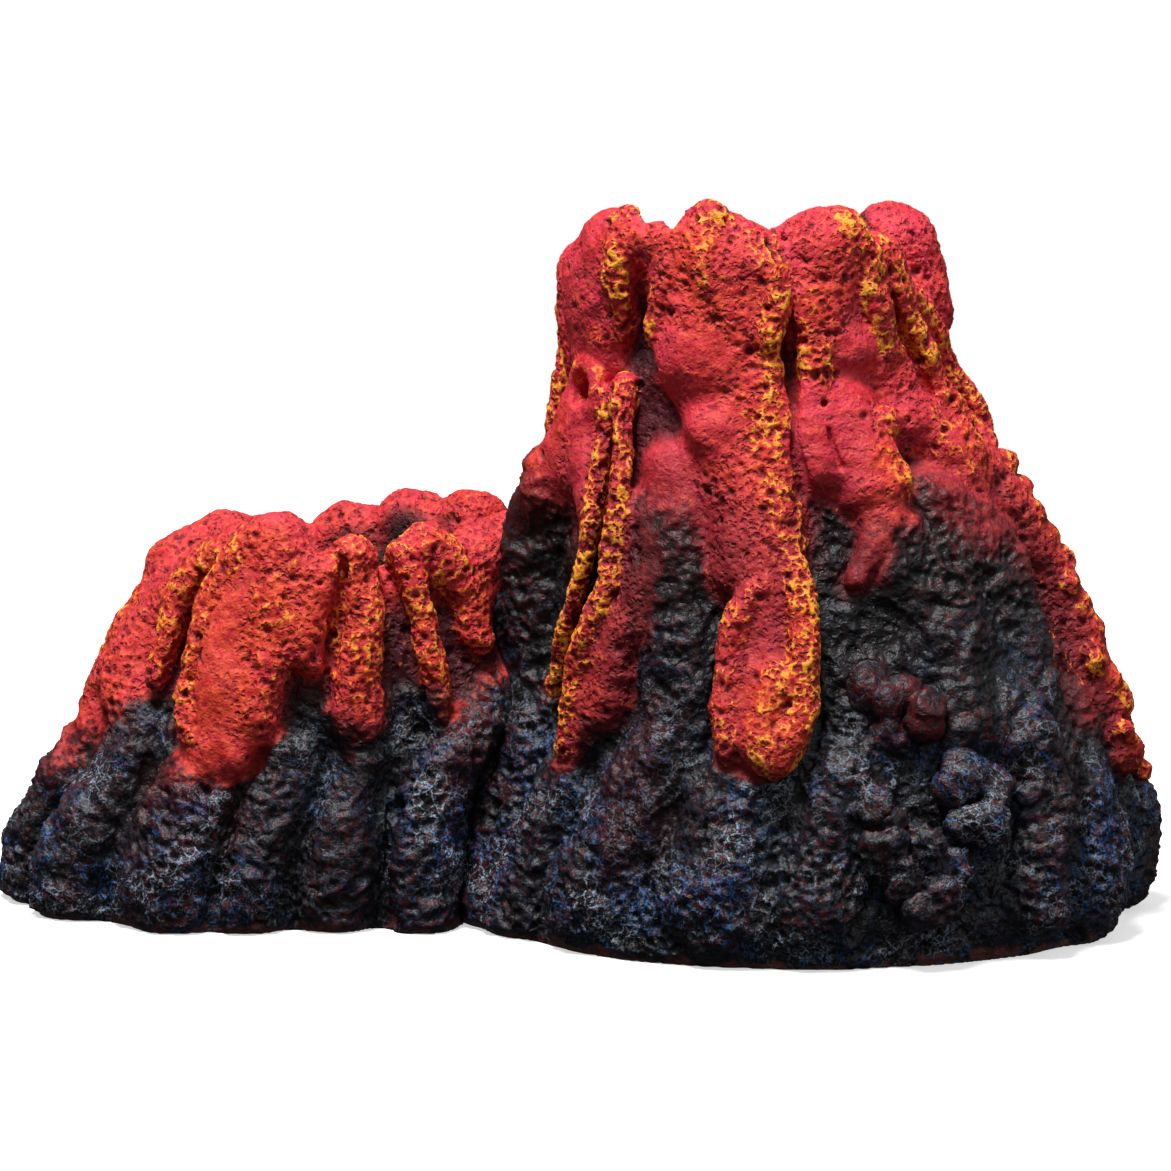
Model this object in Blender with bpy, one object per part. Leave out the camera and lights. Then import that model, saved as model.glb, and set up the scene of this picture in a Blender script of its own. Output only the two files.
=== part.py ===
"""Bubbling volcano ornament: two hollow cast-resin cones over a small air unit.

The castings stand on their own rims and lift straight off the air unit, a plate on suction
cups that carries the inlet, the hoses and one air stone under each crater.
Design sizes are in millimetres. Azimuths are in degrees round a casting's axis: 0 faces the
front (-Y), 90 the right (+X), 180 the back and -90 the left.
"""
from math import cos, exp, hypot, pi, radians, sin, sqrt

import bmesh
import bpy
import numpy as np
from mathutils import Matrix, Vector

MM = 0.001
GAP = 0.3  # clearance kept between neighbouring pieces
FRAME_CENTRE = (1.9, 3.67)  # middle of the whole ornament's box, in design x and y

# Each casting: height, centre x, centre y, reach to the left, half depth, reach to the right
MAIN_STATIONS = (
    (0, 41.5, 0.0, 58.5, 55.5, 58.5),
    (8, 43.5, 0.0, 58.5, 54.5, 58.5),
    (22, 45.5, 0.0, 57.0, 52.0, 57.0),
    (41, 44.0, 0.0, 50.5, 47.0, 50.5),
    (60, 40.0, 0.0, 46.5, 42.5, 46.5),
    (75, 36.2, 0.0, 42.0, 38.5, 42.0),
    (88, 33.6, 0.0, 36.5, 34.5, 36.5),
    (102, 31.6, 0.0, 32.5, 31.0, 32.5),
    (116, 30.6, 0.0, 30.5, 29.5, 30.5),
    (133, 30.6, 0.0, 29.0, 28.0, 29.0),
)
LOW_STATIONS = (
    (0, -59.0, 13.0, 45.0, 34.0, 68.0),
    (8, -58.5, 13.0, 44.5, 33.5, 67.0),
    (22, -56.0, 13.0, 42.5, 31.5, 62.0),
    (40, -50.5, 12.5, 38.0, 29.0, 52.0),
    (55, -45.5, 12.0, 34.0, 27.5, 38.0),
    (66, -42.5, 12.0, 31.5, 26.0, 31.5),
    (78, -41.5, 12.0, 28.5, 25.0, 28.5),
)
# Lip height round each mouth: mean, extra towards one azimuth, that azimuth, then its lobes
# as (azimuth, extra height, half width in degrees)
MAIN_LIP = (117.5, 6.5, 15, ((-52, 7.5, 22), (-10, 8, 20), (30, 6.5, 16), (68, 7, 14),
                             (105, 8, 22), (160, 3, 18), (-155, 4, 20), (-105, 5, 20)))
LOW_LIP = (68.0, 1.0, 170, ((-60, 4, 24), (-30, 3.5, 16), (8, 2.5, 14), (35, 3, 12),
                            (62, 3.5, 14), (115, 4, 22), (165, 4.5, 22), (-140, 3.5, 22)))
# Flows and ribs that stand proud of a casting: (azimuth, height) along the track, half width
# and how far it stands out
MAIN_FLOWS = (
    (((-52, 130), (-50, 104)), 11, 3.0),
    (((-10, 131), (-13, 104), (-14, 88)), 10, 3.0),
    (((30, 128), (26, 106)), 7, 3.0),
    (((44, 127), (48, 102), (40, 88)), 5, 3.0),
    (((62, 120), (76, 100), (80, 85)), 5, 3.0),
    (((105, 128), (100, 108)), 9, 3.0),
    (((24, 95), (22, 80)), 11, 3.5),
    (((3, 100), (2, 88), (-1, 70)), 5, 4.0),
    (((-60, 92), (-55, 76), (-62, 58)), 4, 2.5),
    (((-44, 96), (-44, 76), (-46, 64), (-55, 52), (-72, 30)), 6, 3.5),
    (((-8, 68), (-16, 52), (-19, 36)), 10, 5.0),
    (((84, 82), (88, 60), (86, 36), (84, 22)), 7, 4.5),
    (((40, 76), (36, 56), (32, 30)), 9, 3.0),
    (((-92, 88), (-90, 66), (-84, 40), (-78, -10)), 11, 9.0),
    (((-64, 34), (-66, 6)), 9, 3.0),
    (((-40, 44), (-38, 8)), 9, 3.0),
    (((125, 100), (128, 60), (126, 20)), 9, 3.0),
    (((160, 104), (165, 74), (160, 34)), 9, 3.0),
    (((-155, 104), (-150, 66), (-154, 30)), 9, 3.5),
    (((-122, 100), (-124, 60), (-120, 16)), 8, 3.5),
)
LOW_FLOWS = (
    (((-58, 70), (-76, 56), (-68, 34)), 8, 3.5),
    (((-36, 70), (-32, 56), (-16, 28)), 9, 4.5),
    (((-8, 66), (6, 46)), 4, 2.5),
    (((8, 68), (20, 52), (28, 33)), 5, 3.5),
    (((34, 68), (44, 50), (52, 34)), 4, 3.0),
    (((52, 70), (66, 54)), 6, 3.0),
    (((115, 70), (112, 46)), 7, 3.0),
    (((160, 71), (162, 40)), 8, 3.5),
    (((-140, 70), (-138, 36)), 8, 3.5),
    (((-105, 68), (-106, 40)), 7, 3.0),
)
# Casting: sides round, outer height steps, wall, mouth inset, fraction where the lip rounds
MAIN_MESH = (64, 20, 6.5, 10.0, 0.90)
LOW_MESH = (48, 12, 6.0, 8.5, 0.86)
BASE_WAVE = 0.9  # waviness of a casting's foot
FOOT_TAPER = 1.5

# Air unit
DECK_BOTTOM = 4.4
DECK_THICKNESS = 2.2
DECK_TOP = DECK_BOTTOM + DECK_THICKNESS
PIPE_HEIGHT = 11.4  # centre line of every hose above the ground
MAIN_STONE = (30.0, 0.0)
LOW_STONE = (-44.0, 12.0)
TEE = (6.0, 3.9)
INLET_X = 12.0
INLET_FRONT = 36.0
INLET_REAR = 49.0
ELBOW_OUT = 61.5
MAIN_DECK = (34.0, 2.0, 33.0)
LOW_DECK = (-46.0, 12.0, 16.0)
BRIDGE_WIDTH = 10.0
TONGUE_WIDTH = 11.0
CUPS = (("suction_cup_front", (46.0, -20.0)), ("suction_cup_right", (58.0, 14.0)),
        ("suction_cup_left", (10.0, -14.0)), ("suction_cup_low", (-56.0, 14.0)))
CUP_RADIUS = 8.0
CUP_HOLE = 2.7
DECK_SIDES = 32
WATER_HOLE = 3.0  # radius of the holes that let water up through the plate
WATER_HOLE_REACH = 26.0  # their distance from the middle of the plate
WATER_HOLE_AZIMUTHS = (85, 155, 190)
ARCH_WIDTH = 18.0
ARCH_HEIGHT = 17.5
INLET_ARCH_WIDTH = 15.0
INLET_ARCH_HEIGHT = 19.0
HOSE_RADIUS = 3.0
HOSE_BORE = 2.2
STEM_RADIUS = 1.6
BARB_RADIUS = 1.85
AIRWAY = 1.0
SOCKET_RADIUS = 4.8
SOCKET_BORE = 2.7
SOCKET_TOP = 16.4
STONES = {"main": (11.0, 25.0), "low": (8.5, 20.0)}  # radius and height
SIDES = 20
SMALL_SIDES = 12

ELBOW_BEND = 3.6  # radius of the inlet elbow's bend
CLIP_WIDTH = 5.0
CLIP_WALL = 1.3
CLIP_OPENING = 96.0  # degrees left open at the top of a hose clip
CUT = 2.0  # how far a cutter runs past the face it cuts

COLOURS = {
    "resin": ((0.42, 0.05, 0.04), 0.75),
    "plate": ((0.02, 0.02, 0.022), 0.45),
    "rubber": ((0.03, 0.03, 0.032), 0.6),
    "hose": ((0.62, 0.68, 0.68), 0.3),
    "fitting": ((0.05, 0.05, 0.055), 0.35),
    "stone": ((0.22, 0.27, 0.33), 0.95),
}


def clear_scene():
    for obj in list(bpy.data.objects):
        bpy.data.objects.remove(obj, do_unlink=True)


def material(name, kind):
    colour, roughness = COLOURS[kind]
    made = bpy.data.materials.new(name)
    made.use_nodes = True
    shader = made.node_tree.nodes["Principled BSDF"]
    shader.inputs["Base Color"].default_value = (*colour, 1.0)
    shader.inputs["Roughness"].default_value = roughness
    shader.inputs["Metallic"].default_value = 0.0
    return made


def add_object(name, mesh_builder, kind=None, parent=None):
    """An object from a bmesh, with its own material; without a kind it is a cutter."""
    mesh = bpy.data.meshes.new(name)
    bmesh.ops.recalc_face_normals(mesh_builder, faces=mesh_builder.faces)
    mesh_builder.to_mesh(mesh)
    mesh_builder.free()
    obj = bpy.data.objects.new(name, mesh)
    bpy.context.collection.objects.link(obj)
    if kind is None:
        obj.hide_render = True
        obj.display_type = "WIRE"
    else:
        mesh.materials.append(material(name + "_material", kind))
        mesh.shade_smooth()
        mesh.set_sharp_from_angle(angle=radians(38))
    obj.parent = parent or bpy.data.objects["ornament"]
    return obj


def apply_boolean(obj, tool, operation):
    change = obj.modifiers.new(tool.name, "BOOLEAN")
    change.operation = operation
    change.object = tool
    change.solver = "EXACT"


def smooth_at(rows, height):
    """A station table read at a height, on cubic curves through its rows."""
    table = np.array(rows, dtype=float)
    heights = table[:, 0]
    height = min(max(height, heights[0]), heights[-1])
    slopes = np.gradient(table[:, 1:], heights, axis=0)
    low = min(int(np.searchsorted(heights, height, side="right")) - 1, len(heights) - 2)
    span = heights[low + 1] - heights[low]
    t = (height - heights[low]) / span
    start = table[low, 1:]
    end = table[low + 1, 1:]
    rise = span * (t ** 3 - 2 * t ** 2 + t) * slopes[low]
    fall = span * (t ** 3 - t ** 2) * slopes[low + 1]
    return (2 * t ** 3 - 3 * t ** 2 + 1) * start + rise + (3 * t ** 2 - 2 * t ** 3) * end + fall


def turn_between(a, b):
    """Smallest turn in degrees from azimuth b to azimuth a."""
    return (a - b + 180) % 360 - 180


def lip_height(lip, azimuth):
    mean, lean, lean_azimuth, lobes = lip
    height = mean + lean * cos(radians(azimuth - lean_azimuth))
    for lobe_azimuth, rise, half_width in lobes:
        height += (rise * exp(-(turn_between(azimuth, lobe_azimuth) / half_width) ** 2)) * 0.9
    return height


def proud_of(flows, azimuth, height, radius):
    """How far the flows stand out of the casting at an azimuth and height."""
    proud = 0.0
    for track, half_width, rise in flows:
        nearest = 1e9
        for (az_a, z_a), (az_b, z_b) in zip(track, track[1:]):
            across_b = radians(turn_between(az_b, az_a)) * radius
            across = radians(turn_between(azimuth, az_a)) * radius
            length = across_b ** 2 + (z_b - z_a) ** 2
            along = (across * across_b + (height - z_a) * (z_b - z_a)) / length
            along = min(max(along, 0.0), 1.0)
            nearest = min(nearest, hypot(across - along * across_b,
                                         height - z_a - along * (z_b - z_a)))
        if nearest < half_width:
            proud = max(proud, rise * sqrt(1 - (nearest / half_width) ** 2))
    return proud


def casting_point(stations, azimuth, height, grow):
    """A point outside (grow > 0) or inside a casting's smooth body."""
    centre_x, centre_y, left, half_depth, right = smooth_at(stations, height)
    turn = radians(azimuth)
    reach = right if sin(turn) > 0 else left
    return Vector((centre_x + (reach + grow) * sin(turn),
                   centre_y - (half_depth + grow) * cos(turn), height)) * MM


def casting_rings(stations, lip, flows, shape, grow=0.0):
    """Rings of an outer surface from the foot to the crest of its lip."""
    sides, steps, wall, inset, round_from = shape
    rings = []
    for step in range(steps + 1):
        share = step / steps
        share = share ** 0.92
        ring = []
        for side in range(sides):
            azimuth = side * 360 / sides
            top = lip_height(lip, azimuth)
            height = share * top
            radius = smooth_at(stations, height)[2]
            out = proud_of(flows, azimuth, height, radius)
            low_part = max(0.0, 1 - height / 25)
            out += BASE_WAVE * low_part * (sin(radians(5 * azimuth)) + sin(radians(9 * azimuth + 40)))
            if share > round_from:
                turn_in = (share - round_from) / (1 - round_from)
                out -= 0.55 * inset * (1 - sqrt(1 - min(turn_in, 1.0) ** 2))
            ring.append(casting_point(stations, azimuth, height, out + grow))
        rings.append(ring)
    return rings


def inner_rings(stations, lip, sides, depths):
    """Rings down the inside of a casting, from the mouth to the foot."""
    rings = []
    for share, thickness in depths:
        ring = []
        for side in range(sides):
            azimuth = side * 360 / sides
            height = share * (lip_height(lip, azimuth) if share > 0.85 else stations[-1][0])
            ring.append(casting_point(stations, azimuth, height, -thickness))
        rings.append(ring)
    return rings


def skin(rings, closed):
    """Faces through rings of equal length; closed joins the last ring to the first."""
    builder = bmesh.new()
    loops = [[builder.verts.new(point) for point in ring] for ring in rings]
    pairs = list(zip(loops, loops[1:]))
    if closed:
        pairs.append((loops[-1], loops[0]))
    for low, high in pairs:
        count = len(low)
        for side in range(count):
            after = (side + 1) % count
            builder.faces.new((low[side], low[after], high[after]))
            builder.faces.new((low[side], high[after], high[side]))
    if not closed:
        builder.faces.new(loops[0][::-1])
        builder.faces.new(loops[-1])
    return builder


def casting(name, stations, lip, flows, shape, parent):
    """A hollow cone; its cavity is even-sided, so a side bonded to a neighbour is thicker."""
    wall, inset = shape[2], shape[3]
    depths = ((0.975, 0.78 * inset), (0.94, inset), (0.88, inset), (0.76, wall + 0.5),
              (0.58, wall), (0.40, wall), (0.20, wall), (0.0, wall + FOOT_TAPER))
    rings = casting_rings(stations, lip, flows, shape)
    hollow = [(*row[:4], row[4], row[3]) for row in stations]
    rings += inner_rings(hollow, lip, shape[0], depths)
    return add_object(name, skin(rings, closed=True), "resin", parent)


def arch_cutter(name, width, height, start, end):
    """A round-topped tunnel standing on the ground, from start to end in plan."""
    run = Vector((end[0] - start[0], end[1] - start[1], 0)).normalized()
    side = Vector((-run.y, run.x, 0))
    half = width / 2
    outline = [(-half, -5.0), (half, -5.0)]
    for step in range(7):
        turn = pi * step / 6
        outline.append((half * cos(turn), height - half + half * sin(turn)))
    rings = []
    for place in (start, end):
        middle = Vector((place[0], place[1], 0))
        rings.append([(middle + side * across + Vector((0, 0, up))) * MM for across, up in outline])
    return add_object(name, skin(rings, closed=False))


def turned(name, outline, kind, parent=None, place=(0, 0, 0), axis=(0, 0, 1), sides=SIDES, spin=0.0):
    """A body of revolution: a closed outline of (radius, distance along the axis)."""
    builder = bmesh.new()
    lean = Vector((0, 0, 1)).rotation_difference(Vector(axis)).to_matrix().to_4x4()
    frame = Matrix.Translation(Vector(place)) @ lean
    loops = []
    for radius, along in outline:
        count = sides if radius > 0 else 1
        loop = []
        for side in range(count):
            turn = 2 * pi * side / sides + radians(spin)
            point = frame @ Vector((radius * cos(turn), radius * sin(turn), along))
            loop.append(builder.verts.new(point * MM))
        loops.append(loop)
    for first, second in zip(loops, loops[1:] + loops[:1]):
        if len(first) == 1 and len(second) == 1:
            continue
        for side in range(sides):
            after = (side + 1) % sides
            if len(first) == 1:
                builder.faces.new((first[0], second[after], second[side]))
            elif len(second) == 1:
                builder.faces.new((first[side], first[after], second[0]))
            else:
                builder.faces.new((first[side], first[after], second[after], second[side]))
    return add_object(name, builder, kind, parent)


def box(name, low, high, kind=None, parent=None):
    builder = bmesh.new()
    bmesh.ops.create_cube(builder, size=1.0)
    for corner in builder.verts:
        for axis in range(3):
            corner.co[axis] = (high[axis] if corner.co[axis] > 0 else low[axis]) * MM
    return add_object(name, builder, kind, parent)


def smooth_path(points, steps):
    """Points of a Catmull-Rom curve through the given ones."""
    knots = [Vector(p) for p in points]
    knots = [2 * knots[0] - knots[1]] + knots + [2 * knots[-1] - knots[-2]]
    path = []
    for before, start, end, after in zip(knots, knots[1:], knots[2:], knots[3:]):
        for step in range(steps):
            t = step / steps
            path.append(0.5 * (2 * start + (end - before) * t
                               + (2 * before - 5 * start + 4 * end - after) * t ** 2
                               + (3 * start - before - 3 * end + after) * t ** 3))
    path.append(knots[-2])
    return path


def pipe(name, path, radii, bore, across, kind, parent):
    """A hollow pipe along a flat path; across is square to the path's plane."""
    across = Vector(across).normalized()
    outer, inner = [], []
    for index, point in enumerate(path):
        ahead = path[min(index + 1, len(path) - 1)]
        behind = path[max(index - 1, 0)]
        side = (ahead - behind).normalized().cross(across)
        for rings, radius in ((outer, radii[index]), (inner, bore)):
            rings.append([(point + radius * (cos(2 * pi * k / SMALL_SIDES) * side
                                             + sin(2 * pi * k / SMALL_SIDES) * across)) * MM
                          for k in range(SMALL_SIDES)])
    return add_object(name, skin(outer + inner[::-1], closed=True), kind, parent)


def barb_outline(start, stem, length):
    """Outline points of a barbed stem that begins at a distance and tapers to its tip."""
    ridge = BARB_RADIUS
    return [(stem, start), (stem, start + 0.35 * length), (ridge, start + 0.4 * length),
            (stem, start + 0.65 * length), (ridge, start + 0.7 * length),
            (stem - 0.25, start + length)]


def make_castings(body):
    main = casting("main_cone", MAIN_STATIONS, MAIN_LIP, MAIN_FLOWS, MAIN_MESH, body)
    low = casting("low_crater", LOW_STATIONS, LOW_LIP, LOW_FLOWS, LOW_MESH, body)
    rings = casting_rings(MAIN_STATIONS, MAIN_LIP, MAIN_FLOWS, MAIN_MESH, grow=GAP + 0.2)
    below = [point - Vector((0, 0, 5 * MM)) for point in rings[0]]
    beside = add_object("bond_face_cutter", skin([below] + rings, closed=False))
    apply_boolean(low, beside, "DIFFERENCE")
    passage = arch_cutter("passage_cutter", ARCH_WIDTH, ARCH_HEIGHT, (-38.0, 10.6), (8.0, 3.4))
    apply_boolean(low, passage, "DIFFERENCE")
    apply_boolean(main, passage, "DIFFERENCE")
    inlet = arch_cutter("inlet_cutter", INLET_ARCH_WIDTH, INLET_ARCH_HEIGHT,
                        (INLET_X, 30.0), (INLET_X, 70.0))
    apply_boolean(main, inlet, "DIFFERENCE")


def run_direction():
    """Directions along the branch hoses, towards the tall cone, and square to them."""
    run = Vector((MAIN_STONE[0] - LOW_STONE[0], MAIN_STONE[1] - LOW_STONE[1], 0)).normalized()
    return run, Vector((-run.y, run.x, 0))


def make_deck(body):
    """The plate: a disc under each cone, a bridge between them and a tongue to the inlet."""
    def disc(name, spec, kind=None):
        outline = [(0, DECK_BOTTOM), (spec[2], DECK_BOTTOM), (spec[2], DECK_TOP), (0, DECK_TOP)]
        return turned(name, outline, kind, body if kind else None, (*spec[:2], 0), sides=DECK_SIDES)

    def hole(name, place, radius, sides):
        outline = [(0, DECK_BOTTOM - CUT), (radius, DECK_BOTTOM - CUT),
                   (radius, DECK_TOP + CUT), (0, DECK_TOP + CUT)]
        cutter = turned(name + "_cutter", outline, None, None, (*place, 0), sides=sides)
        apply_boolean(deck, cutter, "DIFFERENCE")

    deck = disc("air_deck", MAIN_DECK, "plate")
    apply_boolean(deck, disc("low_disc_tool", LOW_DECK), "UNION")
    side = run_direction()[1] * BRIDGE_WIDTH / 2
    section = ((-1, DECK_BOTTOM), (1, DECK_BOTTOM), (1, DECK_TOP), (-1, DECK_TOP))
    rings = []
    for place in (LOW_STONE, MAIN_STONE):
        middle = Vector((*place, 0))
        rings.append([(middle + side * sign + Vector((0, 0, up))) * MM for sign, up in section])
    apply_boolean(deck, add_object("bridge_tool", skin(rings, closed=False)), "UNION")
    half = TONGUE_WIDTH / 2
    start = (INLET_X - half, MAIN_DECK[1] + 18.0, DECK_BOTTOM)
    tongue = box("tongue_tool", start, (INLET_X + half, INLET_REAR + 1.0, DECK_TOP))
    apply_boolean(deck, tongue, "UNION")
    for name, place in CUPS:
        hole(name + "_hole", place, CUP_HOLE, SIDES)
    for azimuth in WATER_HOLE_AZIMUTHS:
        turn = radians(azimuth)
        spot = (MAIN_DECK[0] + WATER_HOLE_REACH * sin(turn), MAIN_DECK[1] - WATER_HOLE_REACH * cos(turn))
        hole("water_hole_%d" % azimuth, spot, WATER_HOLE, SMALL_SIDES)


def make_cups(body):
    """Suction cups: a hollow bell under the plate, a neck through it and a head on top."""
    under = DECK_BOTTOM - GAP
    above = DECK_TOP + GAP
    for name, (x, y) in CUPS:
        outline = [(0, 2.0), (3.0, 1.7), (6.2, 0.6), (CUP_RADIUS - 0.5, 0.0), (CUP_RADIUS, 0.0),
                   (6.4, 1.6), (3.6, 3.2), (3.4, under), (2.2, under), (2.2, above), (3.3, above),
                   (3.0, above + 1.1), (0, above + 1.5)]
        turned(name, outline, "rubber", body, (x, y, 0), sides=16)


def make_socket(name, place, aim, body):
    """An elbow fitting: an upright collar for a stone's nipple and a barb for its hose."""
    floor = DECK_TOP + GAP
    rim = SOCKET_RADIUS + 1.6
    outline = [(0, floor), (rim, floor), (rim, floor + 1.2), (SOCKET_RADIUS, floor + 1.6),
               (SOCKET_RADIUS, SOCKET_TOP), (0, SOCKET_TOP)]
    collar = turned(name, outline, "fitting", body, (*place, 0))
    stem = barb_outline(SOCKET_RADIUS - 1.0, STEM_RADIUS, 8.0)
    arm = [(0, 0.5), (STEM_RADIUS, 0.5)] + stem[1:] + [(0, SOCKET_RADIUS + 7.0)]
    centre = (*place, PIPE_HEIGHT)
    barb = turned(name + "_barb_tool", arm, None, None, centre, aim, SMALL_SIDES)
    apply_boolean(collar, barb, "UNION")
    floor_of_well = PIPE_HEIGHT - 1.2
    well = [(0, floor_of_well), (SOCKET_BORE, floor_of_well), (SOCKET_BORE, SOCKET_TOP + CUT),
            (0, SOCKET_TOP + CUT)]
    hollow = turned(name + "_well_cutter", well, None, None, (*place, 0), spin=4)
    apply_boolean(hollow, airway_tool(name + "_airway_tool", centre, aim, (0.3, 16.0)), "UNION")
    apply_boolean(collar, hollow, "DIFFERENCE")


def airway_tool(name, centre, aim, span):
    """The air passage of a fitting, turned a little so that its facets cross its neighbours'."""
    outline = [(0, span[0]), (AIRWAY, span[0]), (AIRWAY, span[1]), (0, span[1])]
    return turned(name, outline, None, None, centre, aim, SMALL_SIDES, spin=7)


def make_stone(which, place, body):
    """An air stone with its barbed nipple, which presses into the socket below it."""
    radius, height = STONES[which]
    foot = SOCKET_TOP + GAP + 1.6
    bore = 2.4
    outline = [(bore, foot), (radius - 1.0, foot), (radius, foot + 1.0), (radius, foot + height - 2.0),
               (radius - 0.6, foot + height - 0.6), (radius - 2.0, foot + height), (0, foot + height),
               (0, foot + 9.0), (bore, foot + 9.0)]
    turned(which + "_air_stone", outline, "stone", body, (*place, 0))
    low = PIPE_HEIGHT + 0.6
    flange = SOCKET_TOP + GAP
    nipple = [(AIRWAY, low), (1.9, low), (2.3, low + 1.2), (1.9, low + 1.8), (1.9, flange), (4.4, flange),
              (4.4, flange + 1.2), (2.0, flange + 1.2), (2.0, foot + 8.0), (AIRWAY, foot + 8.0)]
    turned(which + "_stone_nipple", nipple, "fitting", body, (*place, 0), sides=16)


def make_tee(body):
    """The tee: its run lies along the branch hoses, and its stem points to the rear."""
    run, rear = run_direction()
    centre = (*TEE, PIPE_HEIGHT)
    arm = barb_outline(3.0, STEM_RADIUS, 7.0) + [(0, 10.0)]
    right = [(0, -2.9), (2.9, -2.9), (2.9, 3.0)] + arm
    tee = turned("tee_connector", right, "fitting", body, centre, run, SMALL_SIDES)
    left = [(0, 0.7), (STEM_RADIUS, 0.7)] + arm[1:]
    stem = [(0, 0.0), (2.6, 0.0), (2.6, 3.4), (STEM_RADIUS, 3.4)] + arm[1:]
    for name, aim, outline in (("tee_left_tool", -run, left), ("tee_rear_tool", rear, stem)):
        tool = turned(name, outline, None, None, centre, aim, SMALL_SIDES, spin=11)
        apply_boolean(tee, tool, "UNION")
    hollow = airway_tool("tee_run_cutter", centre, run, (-14.0, 13.0))
    apply_boolean(hollow, airway_tool("tee_stem_tool", centre, rear, (0.3, 15.0)), "UNION")
    apply_boolean(tee, hollow, "DIFFERENCE")


def hose(name, points, body):
    path = smooth_path([(*p, PIPE_HEIGHT) for p in points], 4)
    pipe(name, path, [HOSE_RADIUS] * len(path), HOSE_BORE, (0, 0, 1), "hose", body)


def clip(name, place, aim, body):
    """A C-shaped clip standing on the plate round a hose."""
    side = Vector((-aim.y, aim.x, 0))
    inner = HOSE_RADIUS + GAP + 0.1
    steps = 14
    first = pi / 2 + radians(CLIP_OPENING) / 2
    sweep = 2 * pi - radians(CLIP_OPENING)
    turns = [first + sweep * step / steps for step in range(steps + 1)]
    outline = [((inner + CLIP_WALL) * cos(turn), (inner + CLIP_WALL) * sin(turn)) for turn in turns]
    outline += [(inner * cos(turn), inner * sin(turn)) for turn in reversed(turns)]
    lowest = DECK_TOP + GAP - PIPE_HEIGHT
    builder = bmesh.new()
    loops = []
    for end in (-aim, aim):
        middle = Vector((*place, PIPE_HEIGHT)) + end * CLIP_WIDTH / 2
        points = [middle + side * across + Vector((0, 0, max(up, lowest))) for across, up in outline]
        loops.append([builder.verts.new(point * MM) for point in points])
    near, far = loops
    count = len(outline)
    for ring in loops:
        for step in range(steps):
            across = count - 1 - step
            builder.faces.new((ring[step], ring[step + 1], ring[across - 1], ring[across]))
    for step in range(count):
        after = (step + 1) % count
        builder.faces.new((near[step], near[after], far[after], far[step]))
    add_object(name, builder, "fitting", body)


def make_inlet(body, swivel):
    """The inlet body on the tongue, and the elbow that turns in it on an O-ring."""
    centre = (INLET_X, INLET_FRONT, PIPE_HEIGHT)
    forward = (0, -1, 0)
    depth = INLET_REAR - INLET_FRONT
    outline = [(0, -depth), (5.0, -depth), (5.4, 0.6 - depth), (5.4, -0.6), (4.6, 0.0), (STEM_RADIUS, 0.0)]
    outline += barb_outline(0.0, STEM_RADIUS, 8.0)[1:] + [(0, 8.0)]
    inlet = turned("inlet_body", outline, "fitting", body, centre, forward, 16)
    low = DECK_TOP + GAP
    foot = box("inlet_foot_tool", (INLET_X - 5.0, INLET_FRONT + 1.0, low),
               (INLET_X + 5.0, INLET_REAR - 1.0, PIPE_HEIGHT - 1))
    apply_boolean(inlet, foot, "UNION")
    trim = box("inlet_trim_cutter", (INLET_X - 12, INLET_FRONT - 12, -4), (INLET_X + 12, INLET_REAR + 4, low))
    apply_boolean(inlet, trim, "DIFFERENCE")
    well = [(0, -depth - CUT), (3.7, -depth - CUT), (3.7, -4.0), (0, -4.0)]
    hollow = turned("inlet_well_cutter", well, None, None, centre, forward, 24, spin=3)
    apply_boolean(hollow, airway_tool("inlet_airway_tool", centre, forward, (-6.0, 12.0)), "UNION")
    apply_boolean(inlet, hollow, "DIFFERENCE")
    # the elbow: (y, radius) along its spigot and flange, the bend, (height, radius) up its barb
    level = ((41.0, 3.3), (43.6, 3.3), (43.7, 2.2), (45.9, 2.2), (46.0, 3.3), (49.6, 3.3),
             (49.7, 4.4), (51.6, 4.4), (51.7, 2.4), (ELBOW_OUT - ELBOW_BEND, 2.4))
    path = [Vector((INLET_X, y, PIPE_HEIGHT)) for y, radius in level]
    radii = [radius for y, radius in level]
    for step in range(1, 5):
        turn = pi / 2 * step / 4
        y = ELBOW_OUT - ELBOW_BEND * (1 - sin(turn))
        path.append(Vector((INLET_X, y, PIPE_HEIGHT + ELBOW_BEND * (1 - cos(turn)))))
        radii.append(2.4)
    for up, radius in ((1.0, 1.7), (4.0, 1.7), (4.6, 2.2), (7.0, 1.7), (7.6, 2.2), (10.6, 1.5)):
        path.append(Vector((INLET_X, ELBOW_OUT, PIPE_HEIGHT + ELBOW_BEND + up)))
        radii.append(radius)
    pipe("inlet_elbow", path, radii, AIRWAY, (1, 0, 0), "fitting", swivel)
    ring = [(2.5, -0.4), (2.9, -0.7), (3.3, -0.4), (3.3, 0.4), (2.9, 0.7), (2.5, 0.4)]
    turned("inlet_oring", ring, "rubber", swivel, (INLET_X, 44.8, PIPE_HEIGHT), (0, 1, 0), 24)


def beside(place, aim, distance):
    """The point that far from a place along a direction, in plan."""
    return place[0] + aim.x * distance, place[1] + aim.y * distance


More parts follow.
